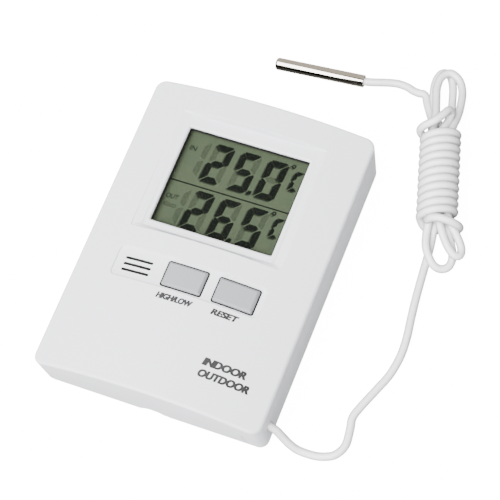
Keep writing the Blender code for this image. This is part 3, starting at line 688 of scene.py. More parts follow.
class Crown:
    """The crowned front in millimetres: a parabola across and straight from end to end."""

    def __init__(self, sizes, lift=0.0):
        self.side = sizes.side_height + lift
        self.top = sizes.top_bulge
        self.bottom = sizes.bottom_bulge

    def bulge(self, y):
        share = (y - CASE.y0) / (CASE.y1 - CASE.y0)
        return self.bottom + (self.top - self.bottom) * share

    def height(self, x, y):
        return self.side + self.bulge(y) * max(0.0, 1 - (x / CASE.x1) ** 2)

    def below(self, drop):
        return lambda x, y: self.height(x, y) - drop

    def normal(self, x, y):
        across = -2 * self.bulge(y) * x / CASE.x1 ** 2
        along = (self.top - self.bottom) / (CASE.y1 - CASE.y0) * (1 - (x / CASE.x1) ** 2)
        return Vector((-across, -along, 1)).normalized()


# Making pieces

def new_item(name, bm):
    """Object at the origin from a bmesh in millimetres."""
    for vertex in bm.verts:
        vertex.co *= MM
    mesh = bpy.data.meshes.new(name)
    bm.to_mesh(mesh)
    bm.free()
    item = bpy.data.objects.new(name, mesh)
    bpy.context.scene.collection.objects.link(item)
    return item


def shape(item, operation, bm):
    """Line up a Boolean of the piece and a closed bmesh."""
    tool = new_item(f"{item.name}_tool_{len(item.modifiers)}", bm)
    step = item.modifiers.new(tool.name, "BOOLEAN")
    step.operation = operation
    step.solver = "MANIFOLD"
    step.object = tool


def cut(item, bm):
    shape(item, "DIFFERENCE", bm)


def add(item, bm):
    shape(item, "UNION", bm)


def settle(item):
    """Make the modifiers' result the piece's own mesh, and remove the tools."""
    tools = [step.object for step in item.modifiers if step.type == "BOOLEAN"]
    graph = bpy.context.evaluated_depsgraph_get()
    mesh = bpy.data.meshes.new_from_object(item.evaluated_get(graph))
    mesh.name = item.name
    item.modifiers.clear()
    item.data = mesh
    for tool in tools:
        bpy.data.objects.remove(tool, do_unlink=True)


def true_normals(mesh, surface, reach=0.02, limit=math.radians(14)):
    """Give the corners that lie on the crowned surface its true direction."""
    normals = [corner.vector.copy() for corner in mesh.corner_normals]
    for loop in mesh.loops:
        x, y, z = mesh.vertices[loop.vertex_index].co / MM
        if abs(z - surface.height(x, y)) < reach:
            target = surface.normal(x, y)
            if normals[loop.index].dot(target) > math.cos(limit):
                normals[loop.index] = target
    mesh.normals_split_custom_set(normals)


def finish_piece(item, material, body, nodes=(), surface=None, crease=32.0):
    """Apply what is lined up, then shade and colour the piece, hang it on its body and hide the frame's nodes
    that it replaces.
    """
    if item.modifiers:
        settle(item)
    mesh = item.data
    mesh.materials.clear()
    mesh.materials.append(material)
    mesh.shade_smooth()
    mesh.set_sharp_from_angle(angle=math.radians(crease))
    if surface:
        true_normals(mesh, surface)
    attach(item, body)
    if nodes:
        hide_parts(*nodes)
    return item


# Geometry Nodes trees

def new_tree(name, sockets):
    """A tree that takes a mesh and named sizes, with its maker and its inputs as values."""
    tree = bpy.data.node_groups.new(name, "GeometryNodeTree")
    tree.interface.new_socket(name="Geometry", in_out="INPUT", socket_type="NodeSocketGeometry")
    tree.interface.new_socket(name="Geometry", in_out="OUTPUT", socket_type="NodeSocketGeometry")
    for socket, kind in sockets.items():
        tree.interface.new_socket(name=socket, in_out="INPUT", socket_type=kind)
    maker = Maker(tree)
    entry = tree.nodes.new("NodeGroupInput")
    return maker, {socket.name: Value(maker, socket) for socket in entry.outputs if socket.name}


def end_tree(maker, points, instance, material):
    """Instance on every point, then make it real and give it its material."""
    placed = maker.node("GeometryNodeInstanceOnPoints", None, {"Points": points, "Instance": instance})
    real = maker.node("GeometryNodeRealizeInstances", None, {0: placed})
    coloured = maker.node("GeometryNodeSetMaterial", None, {"Geometry": real, "Material": material})
    leave = maker.tree.nodes.new("NodeGroupOutput")
    maker.feed(leave.inputs[0], coloured)
    return maker.tree


def moved(maker, geometry, height, turn=(0.0, 0.0, 0.0)):
    offset = maker.node("ShaderNodeCombineXYZ", None, {"Z": height})
    return maker.node("GeometryNodeTransform", None, {
        "Geometry": geometry, "Translation": offset, "Rotation": turn})


def screw_tree():
    """Pan-head screws with a cross recess, head down, one on each point."""
    lengths = ("Head Radius", "Head Height", "Head Edge", "Shank Radius", "Shank Length",
               "Recess Length", "Recess Width", "Recess Depth")
    sockets = {name: "NodeSocketFloat" for name in lengths}
    maker, size = new_tree("pan_head_screws", {**sockets, "Material": "NodeSocketMaterial"})
    edge = maker.node("GeometryNodeMeshCone", None, {
        "Vertices": 40, "Radius Bottom": size["Head Radius"] - size["Head Edge"],
        "Radius Top": size["Head Radius"], "Depth": size["Head Edge"]})
    edge = moved(maker, edge, 0.0 - size["Head Height"])
    rim = maker.node("GeometryNodeMeshCylinder", None, {
        "Vertices": 40, "Radius": size["Head Radius"], "Depth": size["Head Height"] - size["Head Edge"]})
    rim = moved(maker, rim, (size["Head Edge"] - size["Head Height"]) * 0.5)
    shank = maker.node("GeometryNodeMeshCylinder", None, {
        "Vertices": 24, "Radius": size["Shank Radius"], "Depth": size["Shank Length"] + 0.0002})
    shank = moved(maker, shank, (size["Shank Length"] - 0.0002) * 0.5)
    solid = maker.node("GeometryNodeMeshBoolean", {"operation": "UNION"}, {1: [edge, rim, shank]})
    bars = []
    for turn in (0.0, math.pi / 2):
        bar_size = maker.node("ShaderNodeCombineXYZ", None, {
            "X": size["Recess Length"], "Y": size["Recess Width"], "Z": size["Recess Depth"] * 2.0})
        bar = maker.node("GeometryNodeMeshCube", None, {"Size": bar_size})
        bars.append(moved(maker, bar, 0.0 - size["Head Height"], (0.0, 0.0, turn)))
    screw = maker.node("GeometryNodeMeshBoolean", {"operation": "DIFFERENCE"}, {0: solid, 1: bars})
    return end_tree(maker, size["Geometry"], screw, size["Material"])


def row_tree():
    """Copies of a mesh in a straight row."""
    maker, size = new_tree("row_of_copies", {
        "Count": "NodeSocketInt", "Step": "NodeSocketVector", "Material": "NodeSocketMaterial"})
    line = maker.node("GeometryNodeMeshLine", {"mode": "OFFSET"}, {
        "Count": size["Count"], "Offset": size["Step"]})
    return end_tree(maker, line, size["Geometry"], size["Material"])


def coil_tree():
    """A conical coil spring along +X, one on each point."""
    lengths = ("Wide Radius", "Narrow Radius", "Wire Radius", "Length")
    maker, size = new_tree("conical_spring", {
        **{name: "NodeSocketFloat" for name in lengths}, "Turns": "NodeSocketFloat",
        "Material": "NodeSocketMaterial"})
    spiral = maker.node("GeometryNodeCurveSpiral", None, {
        "Resolution": 40, "Rotations": size["Turns"], "Start Radius": size["Wide Radius"],
        "End Radius": size["Narrow Radius"], "Height": size["Length"]})
    wire = maker.node("GeometryNodeCurvePrimitiveCircle", None, {
        "Resolution": 12, "Radius": size["Wire Radius"]})
    coil = maker.node("GeometryNodeCurveToMesh", None, {
        "Curve": spiral, "Profile Curve": wire, "Fill Caps": True})
    lying = moved(maker, coil, 0.0, (0.0, -math.pi / 2, 0.0))
    return end_tree(maker, size["Geometry"], lying, size["Material"])


def run_tree(item, tree, values):
    """Run a tree on the piece with these inputs, and keep its result as the piece's mesh."""
    modifier = item.modifiers.new(tree.name, "NODES")
    modifier.node_group = tree
    for socket in tree.interface.items_tree:
        if socket.in_out == "INPUT" and socket.name in values:
            modifier[socket.identifier] = values[socket.name]
    settle(item)
    return item


def bmesh_of(item):
    """The item's mesh as a bmesh in millimetres. The item is removed."""
    bm = bmesh.new()
    bm.from_mesh(item.data)
    for vertex in bm.verts:
        vertex.co /= MM
    bpy.data.objects.remove(item, do_unlink=True)
    return bm


def row_of(bm, count, step, material):
    """A bmesh repeated in a row."""
    offset = Vector(step) * MM
    return bmesh_of(run_tree(new_item("row", bm), row_tree(), {
        "Count": count, "Step": offset, "Material": material}))


# Materials by name, each made once

def finishes():
    """Name of a finish and the function that makes it."""
    case = bpy.context.scene.thermometer.case
    display = bpy.context.scene.thermometer.display
    cord = bpy.context.scene.thermometer.cord
    screen = list(display.screen)
    faint_bar_and_painted_shadow = [channel * 0.55 for channel in screen]
    probe_turn = -math.atan2(PROBE_END.y - PROBE_START.y, PROBE_END.x - PROBE_START.x)
    return {
        "case_plastic": lambda name: moulded_plastic(name, list(case.white), 0.40, case.texture),
        "button_plastic": lambda name: moulded_plastic(name, list(case.grey), 0.36, case.texture * 0.7),
        "inner_plastic": lambda name: moulded_plastic(name, (0.70, 0.70, 0.68), 0.5, 0.5, 0.03),
        "window_plastic": clear_plastic,
        "screen_film": lambda name: screen_film(name, screen),
        "screen_bars": lambda name: screen_ink(name, list(display.ink)),
        "screen_ghosts": lambda name: screen_ink(name, faint_bar_and_painted_shadow, 0.14),
        # Painted shadows of the lit bars, in the same darker olive as the bars that are off
        "screen_shadows": lambda name: screen_ink(name, faint_bar_and_painted_shadow, 0.08),
        "printed_black": printed_ink,
        "cord_sheath": lambda name: sheath_plastic(name, list(cord.sheath)),
        "probe_steel": lambda name: drawn_steel(name, list(cord.steel), probe_turn),
        "plated_steel": plated_steel,
        "black_rubber": lambda name: rubber(name, (0.012, 0.012, 0.012), 0.7),
        "black_foam": lambda name: rubber(name, (0.006, 0.006, 0.006), 0.8),
        "grey_rubber": lambda name: rubber(name, (0.55, 0.56, 0.55)),
        "black_resin": resin,
        "board_laminate": board_laminate,
        "cell_wrap": cell_wrap,
        "capacitor_shell": lambda name: moulded_plastic(name, (0.10, 0.16, 0.13), 0.3, 0.5, 0.05),
        "display_glass": lambda name: glass_sheet(name, (0.45, 0.52, 0.42)),
        "reflector_film": reflector_film,
    }


def finish_of(name):
    """The finish, made once. Its label differs from the names of the frame's own materials."""
    label = f"{name}_finish"
    return bpy.data.materials.get(label) or finishes()[name](label)


# Case

def case_outline(grow=0.0):
    return (CASE.x0 - grow, CASE.x1 + grow, CASE.y0 - grow, CASE.y1 + grow)


def button_outline(name, grow=0.0):
    box = BUTTONS[name]
    inset = BUTTON_FLANGE - grow
    return (box.x0 + inset, box.x1 - inset, box.y0 + inset, box.y1 - inset)


def finger_notch():
    radius, height, inner_end = FINGER_NOTCH
    start = CASE.y0 - 3
    return rod(radius, (0, start, height), inner_end - start, "Y", sides=72)


def front_cover():
    """Crowned cover with its sunk panel, window, button openings, vent and cord hole."""
    sizes = sizes_of("case")
    crown = Crown(sizes)
    rim = CASE.z0
    walls = [(0, sizes.end_draft, rim)] + rounded_top(sizes.edge_radius, crown.height)
    cover = new_item("front_shell", block(case_outline(), walls, sizes.corner_radius, 48, 12))
    hollow = ((0, sizes.end_draft, rim - 1), (0, 0, crown.below(sizes.wall)))
    cut(cover, block(case_outline(-sizes.wall), hollow, sizes.corner_radius - sizes.wall, 24, 6))
    x0, x1, y0, y1 = PANEL
    backing = (x0 - 2, x1 + 2, y0 - 2, y1 + 2)
    add(cover, block(backing, ((0, 0, BACKING_HEIGHT), (0, 0, crown.below(1.0))), across=24))
    for screws, radius, pilot, depth in ((CASE_SCREWS, 3.1, 1.4, 8.0), (BOARD_SCREWS, 2.4, 1.1, 2.4)):
        for screw in screws:
            x, y = screw.middle.x, screw.middle.y
            base = REAR.z0 + 5.3 if screws is CASE_SCREWS else BOARD.z1 + GAP
            add(cover, rod(radius, (x, y, base), crown.height(x, y) - 1.2 - base))
            cut(cover, rod(pilot, (x, y, base - 1), depth + 1, sides=24))
    cut(cover, panel_cutter(sizes, crown))
    cut(cover, window_cutter(sizes))
    recess = [(0.35, 0.35, crown.below(sizes.recess_depth)),
              (0.1, 0.1, crown.below(sizes.recess_depth - 0.06))]
    cut(cover, block(BUTTON_RECESS, recess + flare(sizes.soft_edge, crown.height), 1.6, 32, 8))
    floor = crown.below(sizes.recess_depth)
    for name in BUTTONS:
        layers = [(0, 0, BACKING_HEIGHT)] + flare(0.12, floor)
        cut(cover, block(button_outline(name, sizes.button_gap), layers, 0.8, 10, 6))
    cut(cover, vent_row(0.0, BACKING_HEIGHT - 1.5, ABOVE))
    slit = plate(SLIT, *SLIT_REACH)
    bmesh.ops.rotate(slit, verts=slit.verts, matrix=Matrix.Rotation(math.pi / 2, 3, "X"))
    cut(cover, slit)
    cut(cover, rod(CORD_RADIUS + GAP, (CASE.x1 - sizes.wall - 1, *CORD_EXIT[1:]), sizes.wall + 2, "X"))
    cut(cover, finger_notch())
    finish_piece(cover, finish_of("case_plastic"), "case", ["front_cover"], crown)
    cover.visible_glossy = False


def panel_cutter(sizes, crown):
    """Flat sunk panel: a slope at its lower end, a short step elsewhere, soft upper edges."""
    bottom = sizes.panel_height
    depth = crown.height(0, PANEL[2]) - bottom
    soft = sizes.soft_edge
    start = sizes.panel_ramp * soft / depth
    side = sizes.panel_side
    layers = [(side, sizes.panel_ramp, 0.4, bottom),
              (side * 0.5, sizes.panel_ramp - 0.16, 0.36, bottom + 0.14)]
    for k, (inset, drop) in enumerate(quarter(soft, 6)[:-1]):
        lowest = bottom + 0.28 + 0.01 * k
        layers.append((-inset, start - inset, -inset,
                       (lambda x, y, d=drop, low=lowest: max(low, crown.height(x, y) - d))))
    layers.append((*layers[-1][:3], ABOVE))
    return loft(PANEL, layers, 0.6, 32, 4)


def window_cutter(sizes):
    """Window whose upper edge rolls over into the panel."""
    level = sizes.panel_height
    layers = [(0, 0, BACKING_HEIGHT - 1)] + flare(sizes.window_roll, lambda x, y: level, steps=8)
    return block(WINDOW, layers, 0.4, 2, 3)


def vent_row(grow, low, high):
    """Three slot shapes with round ends in a row, grown by so much all round."""
    x, y = VENT_CENTRE
    half_length, half_width = VENT_SIZE[0] / 2 + grow, VENT_SIZE[1] / 2 + grow
    first = y - VENT_PITCH * (VENT_SLOTS - 1) / 2
    outline = (x - half_length, x + half_length, first - half_width, first + half_width)
    slot = block(outline, ((0, 0, low), (0, 0, high)), half_width - 0.01, 6, 6)
    return row_of(slot, VENT_SLOTS, (0, VENT_PITCH, 0), finish_of("case_plastic"))


def shade_seals_and_pad():
    """Painted shade in the button gaps and the vent slots: black rings in the gaps round the buttons, and a
    black pad behind the vent whose plugs fill the slots.
    """
    sizes = sizes_of("case")
    crown = Crown(sizes)
    for name in BUTTONS:
        # Painted shade: a black ring fills the gap round each button, just under the recess floor
        levels = (crown.below(sizes.wall + 0.05), crown.below(sizes.recess_depth + 0.16))
        seal = new_item(name.replace("button", "seal"), block(
            button_outline(name, sizes.button_gap + 0.02), [(0, 0, level) for level in levels], 0.8, 10, 6))
        levels = (crown.below(sizes.wall + 1), crown.below(0))
        cut(seal, block(button_outline(name, 0.06), [(0, 0, level) for level in levels], 0.5, 10, 6))
        finish_piece(seal, finish_of("black_rubber"), "case")
    # Painted shade: a black pad behind the vent, with plugs that fill the slots up to just under the recess
    # floor
    x, y = VENT_CENTRE
    levels = (crown.below(sizes.wall + 0.7), crown.below(sizes.wall + 0.03))
    outline = (x - 5.6, x + 5.6, y - 3.6, y + 3.6)
    shade_pad = new_item("vent_shade_pad", block(outline, [(0, 0, level) for level in levels], 1.0, 10, 4))
    add(shade_pad, vent_row(-0.02, crown.below(sizes.wall + 0.3), crown.below(sizes.recess_depth + 0.2)))
    finish_piece(shade_pad, finish_of("black_foam"), "case")


def rear_cover():
    """Back plate with screw wells, the battery bay and the tray that the stand folds into."""
    sizes = sizes_of("case")
    side = 0.35
    end = sizes.end_draft + side
    layers = rounded_bottom(sizes.rear_edge_radius, 0.0, side=side, end=end) + [(side, end, 2.0)]
    cover = new_item("rear_shell", block(case_outline(), layers, sizes.corner_radius, 12, 10))
    lip_x, lip_y = CASE.x1 - sizes.wall - GAP, CASE.y1 - end + side - sizes.wall - GAP
    for way in (-1, 1):
        near, far = sorted((way * lip_x, way * (lip_x - 1.2)))
        add(cover, box_shape(near, far, -24.0, 36.0, 1.5, 4.0))
        near, far = sorted((way * lip_y, way * (lip_y - 1.2)))
        add(cover, box_shape(-24.0, -8.0, near, far, 1.5, 4.0))
        add(cover, box_shape(8.0, 24.0, near, far, 1.5, 4.0))
    for screw in CASE_SCREWS:
        x, y = screw.middle.x, screw.middle.y
        add(cover, rod(3.5, (x, y, 1.0), 4.0))
        well = [(0, -1), (3.2, -1), (3.2, 0.02), (2.95, 0.14), (2.8, 0.45), (2.8, 3.2), (0, 3.2)]
        cut(cover, turned(well, (x, y, 0)))
        cut(cover, rod(1.5, (x, y, 2.0), 5.0, sides=24))
    bay_and_door_sockets(cover)
    stand_tray(cover)
    cut(cover, finger_notch())
    finish_piece(cover, finish_of("case_plastic"), "case", ["rear_cover"])
    cover.visible_glossy = False


def bay_outline():
    """Battery bay, a gap wider than the door, with room at the door's hinged end."""
    return (DOOR.x0 - 0.9, DOOR.x1 + GAP, DOOR.y0 + 1.4 - GAP, DOOR.y1 - 1.4 + GAP)


def bay_and_door_sockets(cover):
    x0, x1, y0, y1 = bay_outline()
    wall = 1.2
    top = BOARD.z0 - GAP
    add(cover, box_shape(x0 - wall, x1 + wall, y0 - wall, y1 + wall, 1.0, top))
    edge = 0.3
    layers = [(-edge, -edge, -1.0), (-edge, -edge, 0.0), (0, 0, edge), (0, 0, top + 1)]
    cut(cover, block((x0, x1, y0, y1), layers))
    hinge = joint_place("battery_door_swing")
    cut(cover, rod(1.1, (hinge.x, y0 - 1.7, hinge.z), y1 - y0 + 3.4, "Y", 24))


def stand_tray(cover):
    hinge = joint_place("stand_fold")
    half = stand_half_width() + GAP
    tray_end, notch_end = STAND.y0 - 1.4, FINGER_NOTCH[2]
    add(cover, box_shape(-half - 2.4, half + 2.4, tray_end, hinge.y + 3.6, 1.0, 3.7))
    add(cover, box_shape(-half - 2.4, half + 2.4, hinge.y - 3.6, hinge.y + 3.6, 1.0, hinge.z + 3.2))
    add(cover, box_shape(-6.6, 6.6, tray_end, notch_end + 1.2, 1.0, 5.2))
    edge = 0.3
    layers = [(-edge, -edge, -1.0), (-edge, -edge, 0.0), (0, 0, edge), (0, 0, 2.3)]
    cut(cover, block((-half, half, STAND.y0 - GAP, hinge.y + 1.8), layers))
    cut(cover, box_shape(-half, half, hinge.y - 1.9, hinge.y + 1.8, 0.5, hinge.z + 1.8))
    reach = 2 * half + 3.0
    cut(cover, rod(1.2, (-reach / 2, hinge.y, hinge.z), reach, "X", 24))


def battery_door():
    """Door with a chamfered face, grip grooves and its two hinge stubs."""
    hinge = joint_place("battery_door_swing")
    x0, x1 = DOOR.x0, DOOR.x1
    y0, y1 = DOOR.y0 + 1.4, DOOR.y1 - 1.4
    base = DOOR.z0
    layers = rounded_bottom(0.35, base, 4) + [(0, 0, base + 1.6)]
    door = new_item("battery_lid", block((x0, x1, y0, y1), layers, 0.3, 4, 4))
    add(door, rod(0.8, (hinge.x, DOOR.y0, hinge.z), DOOR.y1 - DOOR.y0, "Y", 32))
    middle = (y0 + y1) / 2
    groove = block((x1 - 6.0, x1 - 5.6, middle - 3.5, middle + 3.5),
                   ((-0.1, -0.1, base - 1), (-0.1, -0.1, base), (0, 0, base + 0.12), (0, 0, base + 0.35)),
                   0.15, 1, 3)
    cut(door, row_of(groove, 5, (0.9, 0, 0), finish_of("case_plastic")))
    finish_piece(door, finish_of("case_plastic"), "battery_door", ["battery_door"])


def stand_half_width():
    return STAND.x1 - 1.2


def stand():
    """Folding stand: a flap with rounded corners, a shallow pocket behind and its hinge barrel."""
    hinge = joint_place("stand_fold")
    half = stand_half_width()
    base = STAND.z0
    layers = rounded_bottom(0.4, base, 4) + [(0, 0, base + 1.45), (0.15, 0.15, base + 1.6)]
    flap = new_item("fold_stand", block((-half, half, STAND.y0, hinge.y), layers, 1.0, 4, 6))
    add(flap, rod(1.4, (-half, hinge.y, hinge.z), 2 * half, "X", 48))
    add(flap, rod(0.9, (STAND.x0, hinge.y, hinge.z), STAND.x1 - STAND.x0, "X", 32))
    cut(flap, block((-7.0, 7.0, -40.0, -18.0), ((0, 0, base + 0.9), (-0.3, -0.3, base + 1.3),
                                                (-0.3, -0.3, base + 3)), 1.0, 2, 5))
    finish_piece(flap, finish_of("case_plastic"), "stand", ["stand"])


def buttons():
    """Two caps with a narrow bevel, a flange inside and a stem."""
    sizes = sizes_of("case")
    surface = Crown(sizes, sizes.button_proud)
    crown = Crown(sizes)
    bevel, soft = sizes.button_bevel, 0.05
    steps = ((0.0, bevel + soft), (soft, bevel - soft * 0.5), (bevel - soft * 0.5, soft), (bevel + soft, 0.0))
    for name, box in BUTTONS.items():
        layers = [(0, 0, crown.below(sizes.wall + 0.6))]
        layers += [(inset, inset, surface.below(drop)) for inset, drop in steps]
        cap = new_item(name.replace("button", "cap"), block(button_outline(name), layers, 0.5, 16, 6))
        flange = ((0, 0, crown.below(sizes.wall + 1.3)), (0, 0, crown.below(sizes.wall + 0.4)))
        add(cap, block(button_outline(name, BUTTON_FLANGE), flange, 1.0, 6, 3))
        x, y = box.middle.x, box.middle.y
        add(cap, rod(2.2, (x, y, box.z0), crown.height(x, y) - sizes.wall - 1.0 - box.z0, sides=32))
        finish_piece(cap, finish_of("button_plastic"), name, [name], surface, 24.0)


# Printing

def text_shape(words, size, weight, slant):
    """Lettering as a closed bmesh: centred on the origin, of this width and height, from z -1 to z 1."""
    curve = bpy.data.curves.new("lettering", "FONT")
    curve.body = words
    curve.size = 1.0
    curve.offset = weight
    curve.shear = slant
    curve.extrude = 1.0
    curve.resolution_u = 4
    item = bpy.data.objects.new("lettering", curve)
    mesh = bpy.data.meshes.new_from_object(item)
    bm = bmesh.new()
    bm.from_mesh(mesh)
    bpy.data.objects.remove(item)
    bpy.data.curves.remove(curve)
    bpy.data.meshes.remove(mesh)
    bmesh.ops.remove_doubles(bm, verts=bm.verts, dist=1e-5)
    bmesh.ops.recalc_face_normals(bm, faces=bm.faces)
    low = Vector([min(v.co[k] for v in bm.verts) for k in range(2)])
    high = Vector([max(v.co[k] for v in bm.verts) for k in range(2)])
    for vertex in bm.verts:
        vertex.co.x = (vertex.co.x - (low.x + high.x) / 2) * size[0] / (high.x - low.x)
        vertex.co.y = (vertex.co.y - (low.y + high.y) / 2) * size[1] / (high.y - low.y)
    return bm


def lay_on(bm, centre, surface, base, top):
    """Move lettering to its centre, and lay it on a surface from base to top above it."""
    for vertex in bm.verts:
        x, y = vertex.co.x + centre[0], vertex.co.y + centre[1]
        vertex.co = (x, y, surface(x, y) + (top if vertex.co.z > 0 else base))
    return bm


PRINT_LEAN = 0.2
PRINT_DEPTH, PRINT_RISE = -0.05, 0.06       # its underside and its top, against the front
WORDS = (                       # words, width, which height, centre
    ("HIGH/LOW", 11.6, "print_height", (-1.5, -19.8)),
    ("RESET", 8.6, "print_height", (14.5, -19.6)),
    ("INDOOR", 13.4, "note_height", (20.4, -34.75)),
    ("OUTDOOR", 15.6, "note_height", (21.5, -38.5)))


def printing():
    """Words under the buttons and at the lower right. Shifted copies joined together make them bold."""
    sizes = sizes_of("display")
    crown = Crown(sizes_of("case"))
    shapes = []
    for text, width, height_name, centre in WORDS:
        height = getattr(sizes, height_name)
        spread = height * 0.05
        size = (width - 2 * spread, height - spread)
        letters = new_item("letters", text_shape(text, size, 0.03, PRINT_LEAN))
        for across, up in ((-1, -1), (1, -1), (-1, 1), (1, 1)):
            copy = text_shape(text, size, 0.03, PRINT_LEAN)
            bmesh.ops.translate(copy, verts=copy.verts, vec=(across * spread, up * spread / 2, 0))
            add(letters, copy)
        settle(letters)
        shapes.append(lay_on(bmesh_of(letters), centre, crown.height, PRINT_DEPTH, PRINT_RISE))
    ink = new_item("front_printing", joined(shapes))
    finish_piece(ink, finish_of("printed_black"), "case")


# Display

def bar_outlines(width, height, stroke, gap):
    """Outline of each of a digit's seven bars, from its lower left corner. The joints are mitred."""
    middle, half = height / 2, stroke / 2
    cut_off = stroke * 0.5
    near, off = (cut_off - gap) / 2, (cut_off + gap) / 2
    inner, far = stroke + gap, width - stroke - gap
    top = [(cut_off, height), (off, height - near), (inner, height - stroke), (far, height - stroke),
           (width - off, height - near), (width - cut_off, height)]
    upper = [(0, height - cut_off), (0, middle + half * 0.5), (half * 0.55, middle + gap * 0.7),
             (stroke, middle + half + gap), (stroke, height - stroke - gap), (near, height - off)]
    centre = [(half + gap, middle), (inner, middle - half), (far, middle - half),
              (width - half - gap, middle), (far, middle + half), (inner, middle + half)]

    def across(outline):
        return [(width - x, y) for x, y in reversed(outline)]

    def over(outline):
        return [(x, height - y) for x, y in reversed(outline)]
    return {"a": top, "b": across(upper), "c": over(across(upper)), "d": over(top), "e": over(upper),
            "f": upper, "g": centre}


BARS = {"0": "abcdef", "1": "bc", "2": "abged", "5": "afgcd", "6": "afgedc", "8": "abcdefg", "C": "afed"}


def leaning(outline, place, slant):
    return [(place[0] + x + slant * y, place[1] + y) for x, y in outline]


def character(symbol, place, size, slant, gap, z0, z1):
    """The bars of one symbol as thin plates."""
    width, height, stroke = size
    bars = bar_outlines(width, height, stroke, gap)
    return [plate(leaning(bars[key], place, slant), z0, z1) for key in BARS[symbol]]


def ring_shape(centre, outer, inner, z0, z1):
    profile = ((outer, z0), (outer, z1), (inner, z1), (inner, z0))
    bm = bmesh.new()
    sides = 24
    rings = [[bm.verts.new((centre[0] + r * math.cos(2 * math.pi * k / sides),
                            centre[1] + r * math.sin(2 * math.pi * k / sides), z)) for k in range(sides)]
             for r, z in profile]
    for j, ring in enumerate(rings):
        following = rings[(j + 1) % len(rings)]
        for k in range(sides):
            n = (k + 1) % sides
            bm.faces.new((ring[k], ring[n], following[n], following[k]))
    return bm


ROWS = (("250", 21.3, (15.1, 34.4), (15.9, 26.4)), ("265", 4.6, (15.0, 17.8), (15.9, 10.0)))
FIRST_DIGIT = -11.3
LEADING_DIGIT = -19.0
POINT = (4.5, 0.1)              # lower left corner of the decimal point in its row
DIVIDER = (19.05, 0.42)


def row_shapes(digits, row, sizes, z0, z1):
    """The large digits of one row."""
    size = (sizes.digit_width, sizes.digit_height, sizes.stroke)
    shapes = []
    for k, digit in enumerate(digits):
        place = (FIRST_DIGIT + k * sizes.digit_pitch, row)
        shapes += character(digit, place, size, sizes.slant, sizes.bar_gap, z0, z1)
    return shapes


def shown_shapes(sizes, z0, z1):
    """Everything that is on: digits, decimal points and the degree signs with their C."""
    shapes = []
    for digits, row, ring, unit in ROWS:
        shapes += row_shapes(digits, row, sizes, z0, z1)
        x, y = POINT[0], row + POINT[1]
        shapes.append(plate([(x, y), (x + 1.2, y), (x + 1.3, y + 1.2), (x + 0.1, y + 1.2)], z0, z1))
        shapes += character("C", unit, (3.0, 6.7, 1.05), sizes.slant, 0.2, z0, z1)
        shapes.append(ring_shape(ring, 0.68, 0.34, z0, z1))
    return shapes


def ghost_shapes(sizes, z0, z1):
    """The bars that are off, the leading 1 of each row and a rounded mark."""
    size = (sizes.digit_width, sizes.digit_height, sizes.stroke)
    shapes = [block((-18.9, -14.5, 10.0, 11.5), ((0, 0, z0), (0, 0, z1)), 0.7, 1, 5)]
    for row in [entry[1] for entry in ROWS]:
        shapes += row_shapes("888", row, sizes, z0, z1)
        shapes += character("1", (LEADING_DIGIT, row), size, sizes.slant, sizes.bar_gap, z0, z1)
    return shapes


def screen_layer(name, finish, shapes, shift=(0.0, 0.0)):
    bm = joined(shapes)
    for vertex in bm.verts:
        vertex.co.x += shift[0]
        vertex.co.y += shift[1]
    finish_piece(new_item(name, bm), finish_of(finish), "case")


def display():
    """Screen, bars that are on, their soft shadows and the faint bars that are off."""
    sizes = sizes_of("display")
    glass = PANEL_GLASS
    box = (glass.x0, glass.x1, glass.y0, glass.y1)
    screen = new_item("screen", block(box, ((0, 0, glass.z0), (0, 0, SCREEN_TOP)), 0.4, 2, 3))
    finish_piece(screen, finish_of("screen_film"), "case", ["lcd_front_glass"])
    base = SCREEN_TOP + 0.004
    screen_layer("bar_ghosts", "screen_ghosts", ghost_shapes(sizes, base, base + 0.002))
    # Painted shadows: three faint see-through copies of the lit bars, shifted down and to the left
    for k, shift in enumerate(((-0.15, -0.25), (-0.4, -0.5), (-0.65, -0.7))):
        base = SCREEN_TOP + 0.01 + 0.004 * k
        screen_layer(f"bar_shadows_{k + 1}", "screen_shadows", shown_shapes(sizes, base, base + 0.002), shift)
    base = SCREEN_TOP + 0.026
    shapes = shown_shapes(sizes, base, base + 0.014) + screen_words(base, base + 0.014)
    screen_layer("bars", "screen_bars", shapes)
    painted_shadow_lining()


def painted_shadow_lining():
    """Black lining between the window's rolled edge and the lens, a painted shadow: a dark ring that stands
    in for the shadow in the gap there.
    """
    x0, x1, y0, y1 = WINDOW
    slack, thick = 0.03, 0.25
    outer = (x0 + slack, x1 - slack, y0 + slack, y1 - slack)
    inner = (outer[0] + thick, outer[1] - thick, outer[2] + thick, outer[3] - thick)
    low, high = LENS.z1 + 0.02, BACKING_HEIGHT + 0.68
    shadow_lining = new_item("window_shadow_lining", block(outer, ((0, 0, low), (0, 0, high)), 0.38, 2, 3))
    cut(shadow_lining, block(inner, ((0, 0, low - 1), (0, 0, high + 1)), 0.25, 2, 3))
    finish_piece(shadow_lining, finish_of("black_rubber"), "case")


def screen_words(z0, z1):
    """IN and OUT beside the rows, and the line between them."""
    shapes = []
    for text, width, height, centre in (("IN", 2.3, 1.7, (-16.9, 30.9)), ("OUT", 4.0, 1.6, (-16.9, 13.6))):
        bm = text_shape(text, (width, height), 0.01, 0.1)
        shapes.append(lay_on(bm, centre, lambda x, y: 0.0, z0, z1))
    y, width = DIVIDER
    shapes.append(box_shape(WINDOW[0] - 0.6, WINDOW[1] + 0.6, y - width / 2, y + width / 2, z0, z1))
    return shapes


# Screws, battery and spring

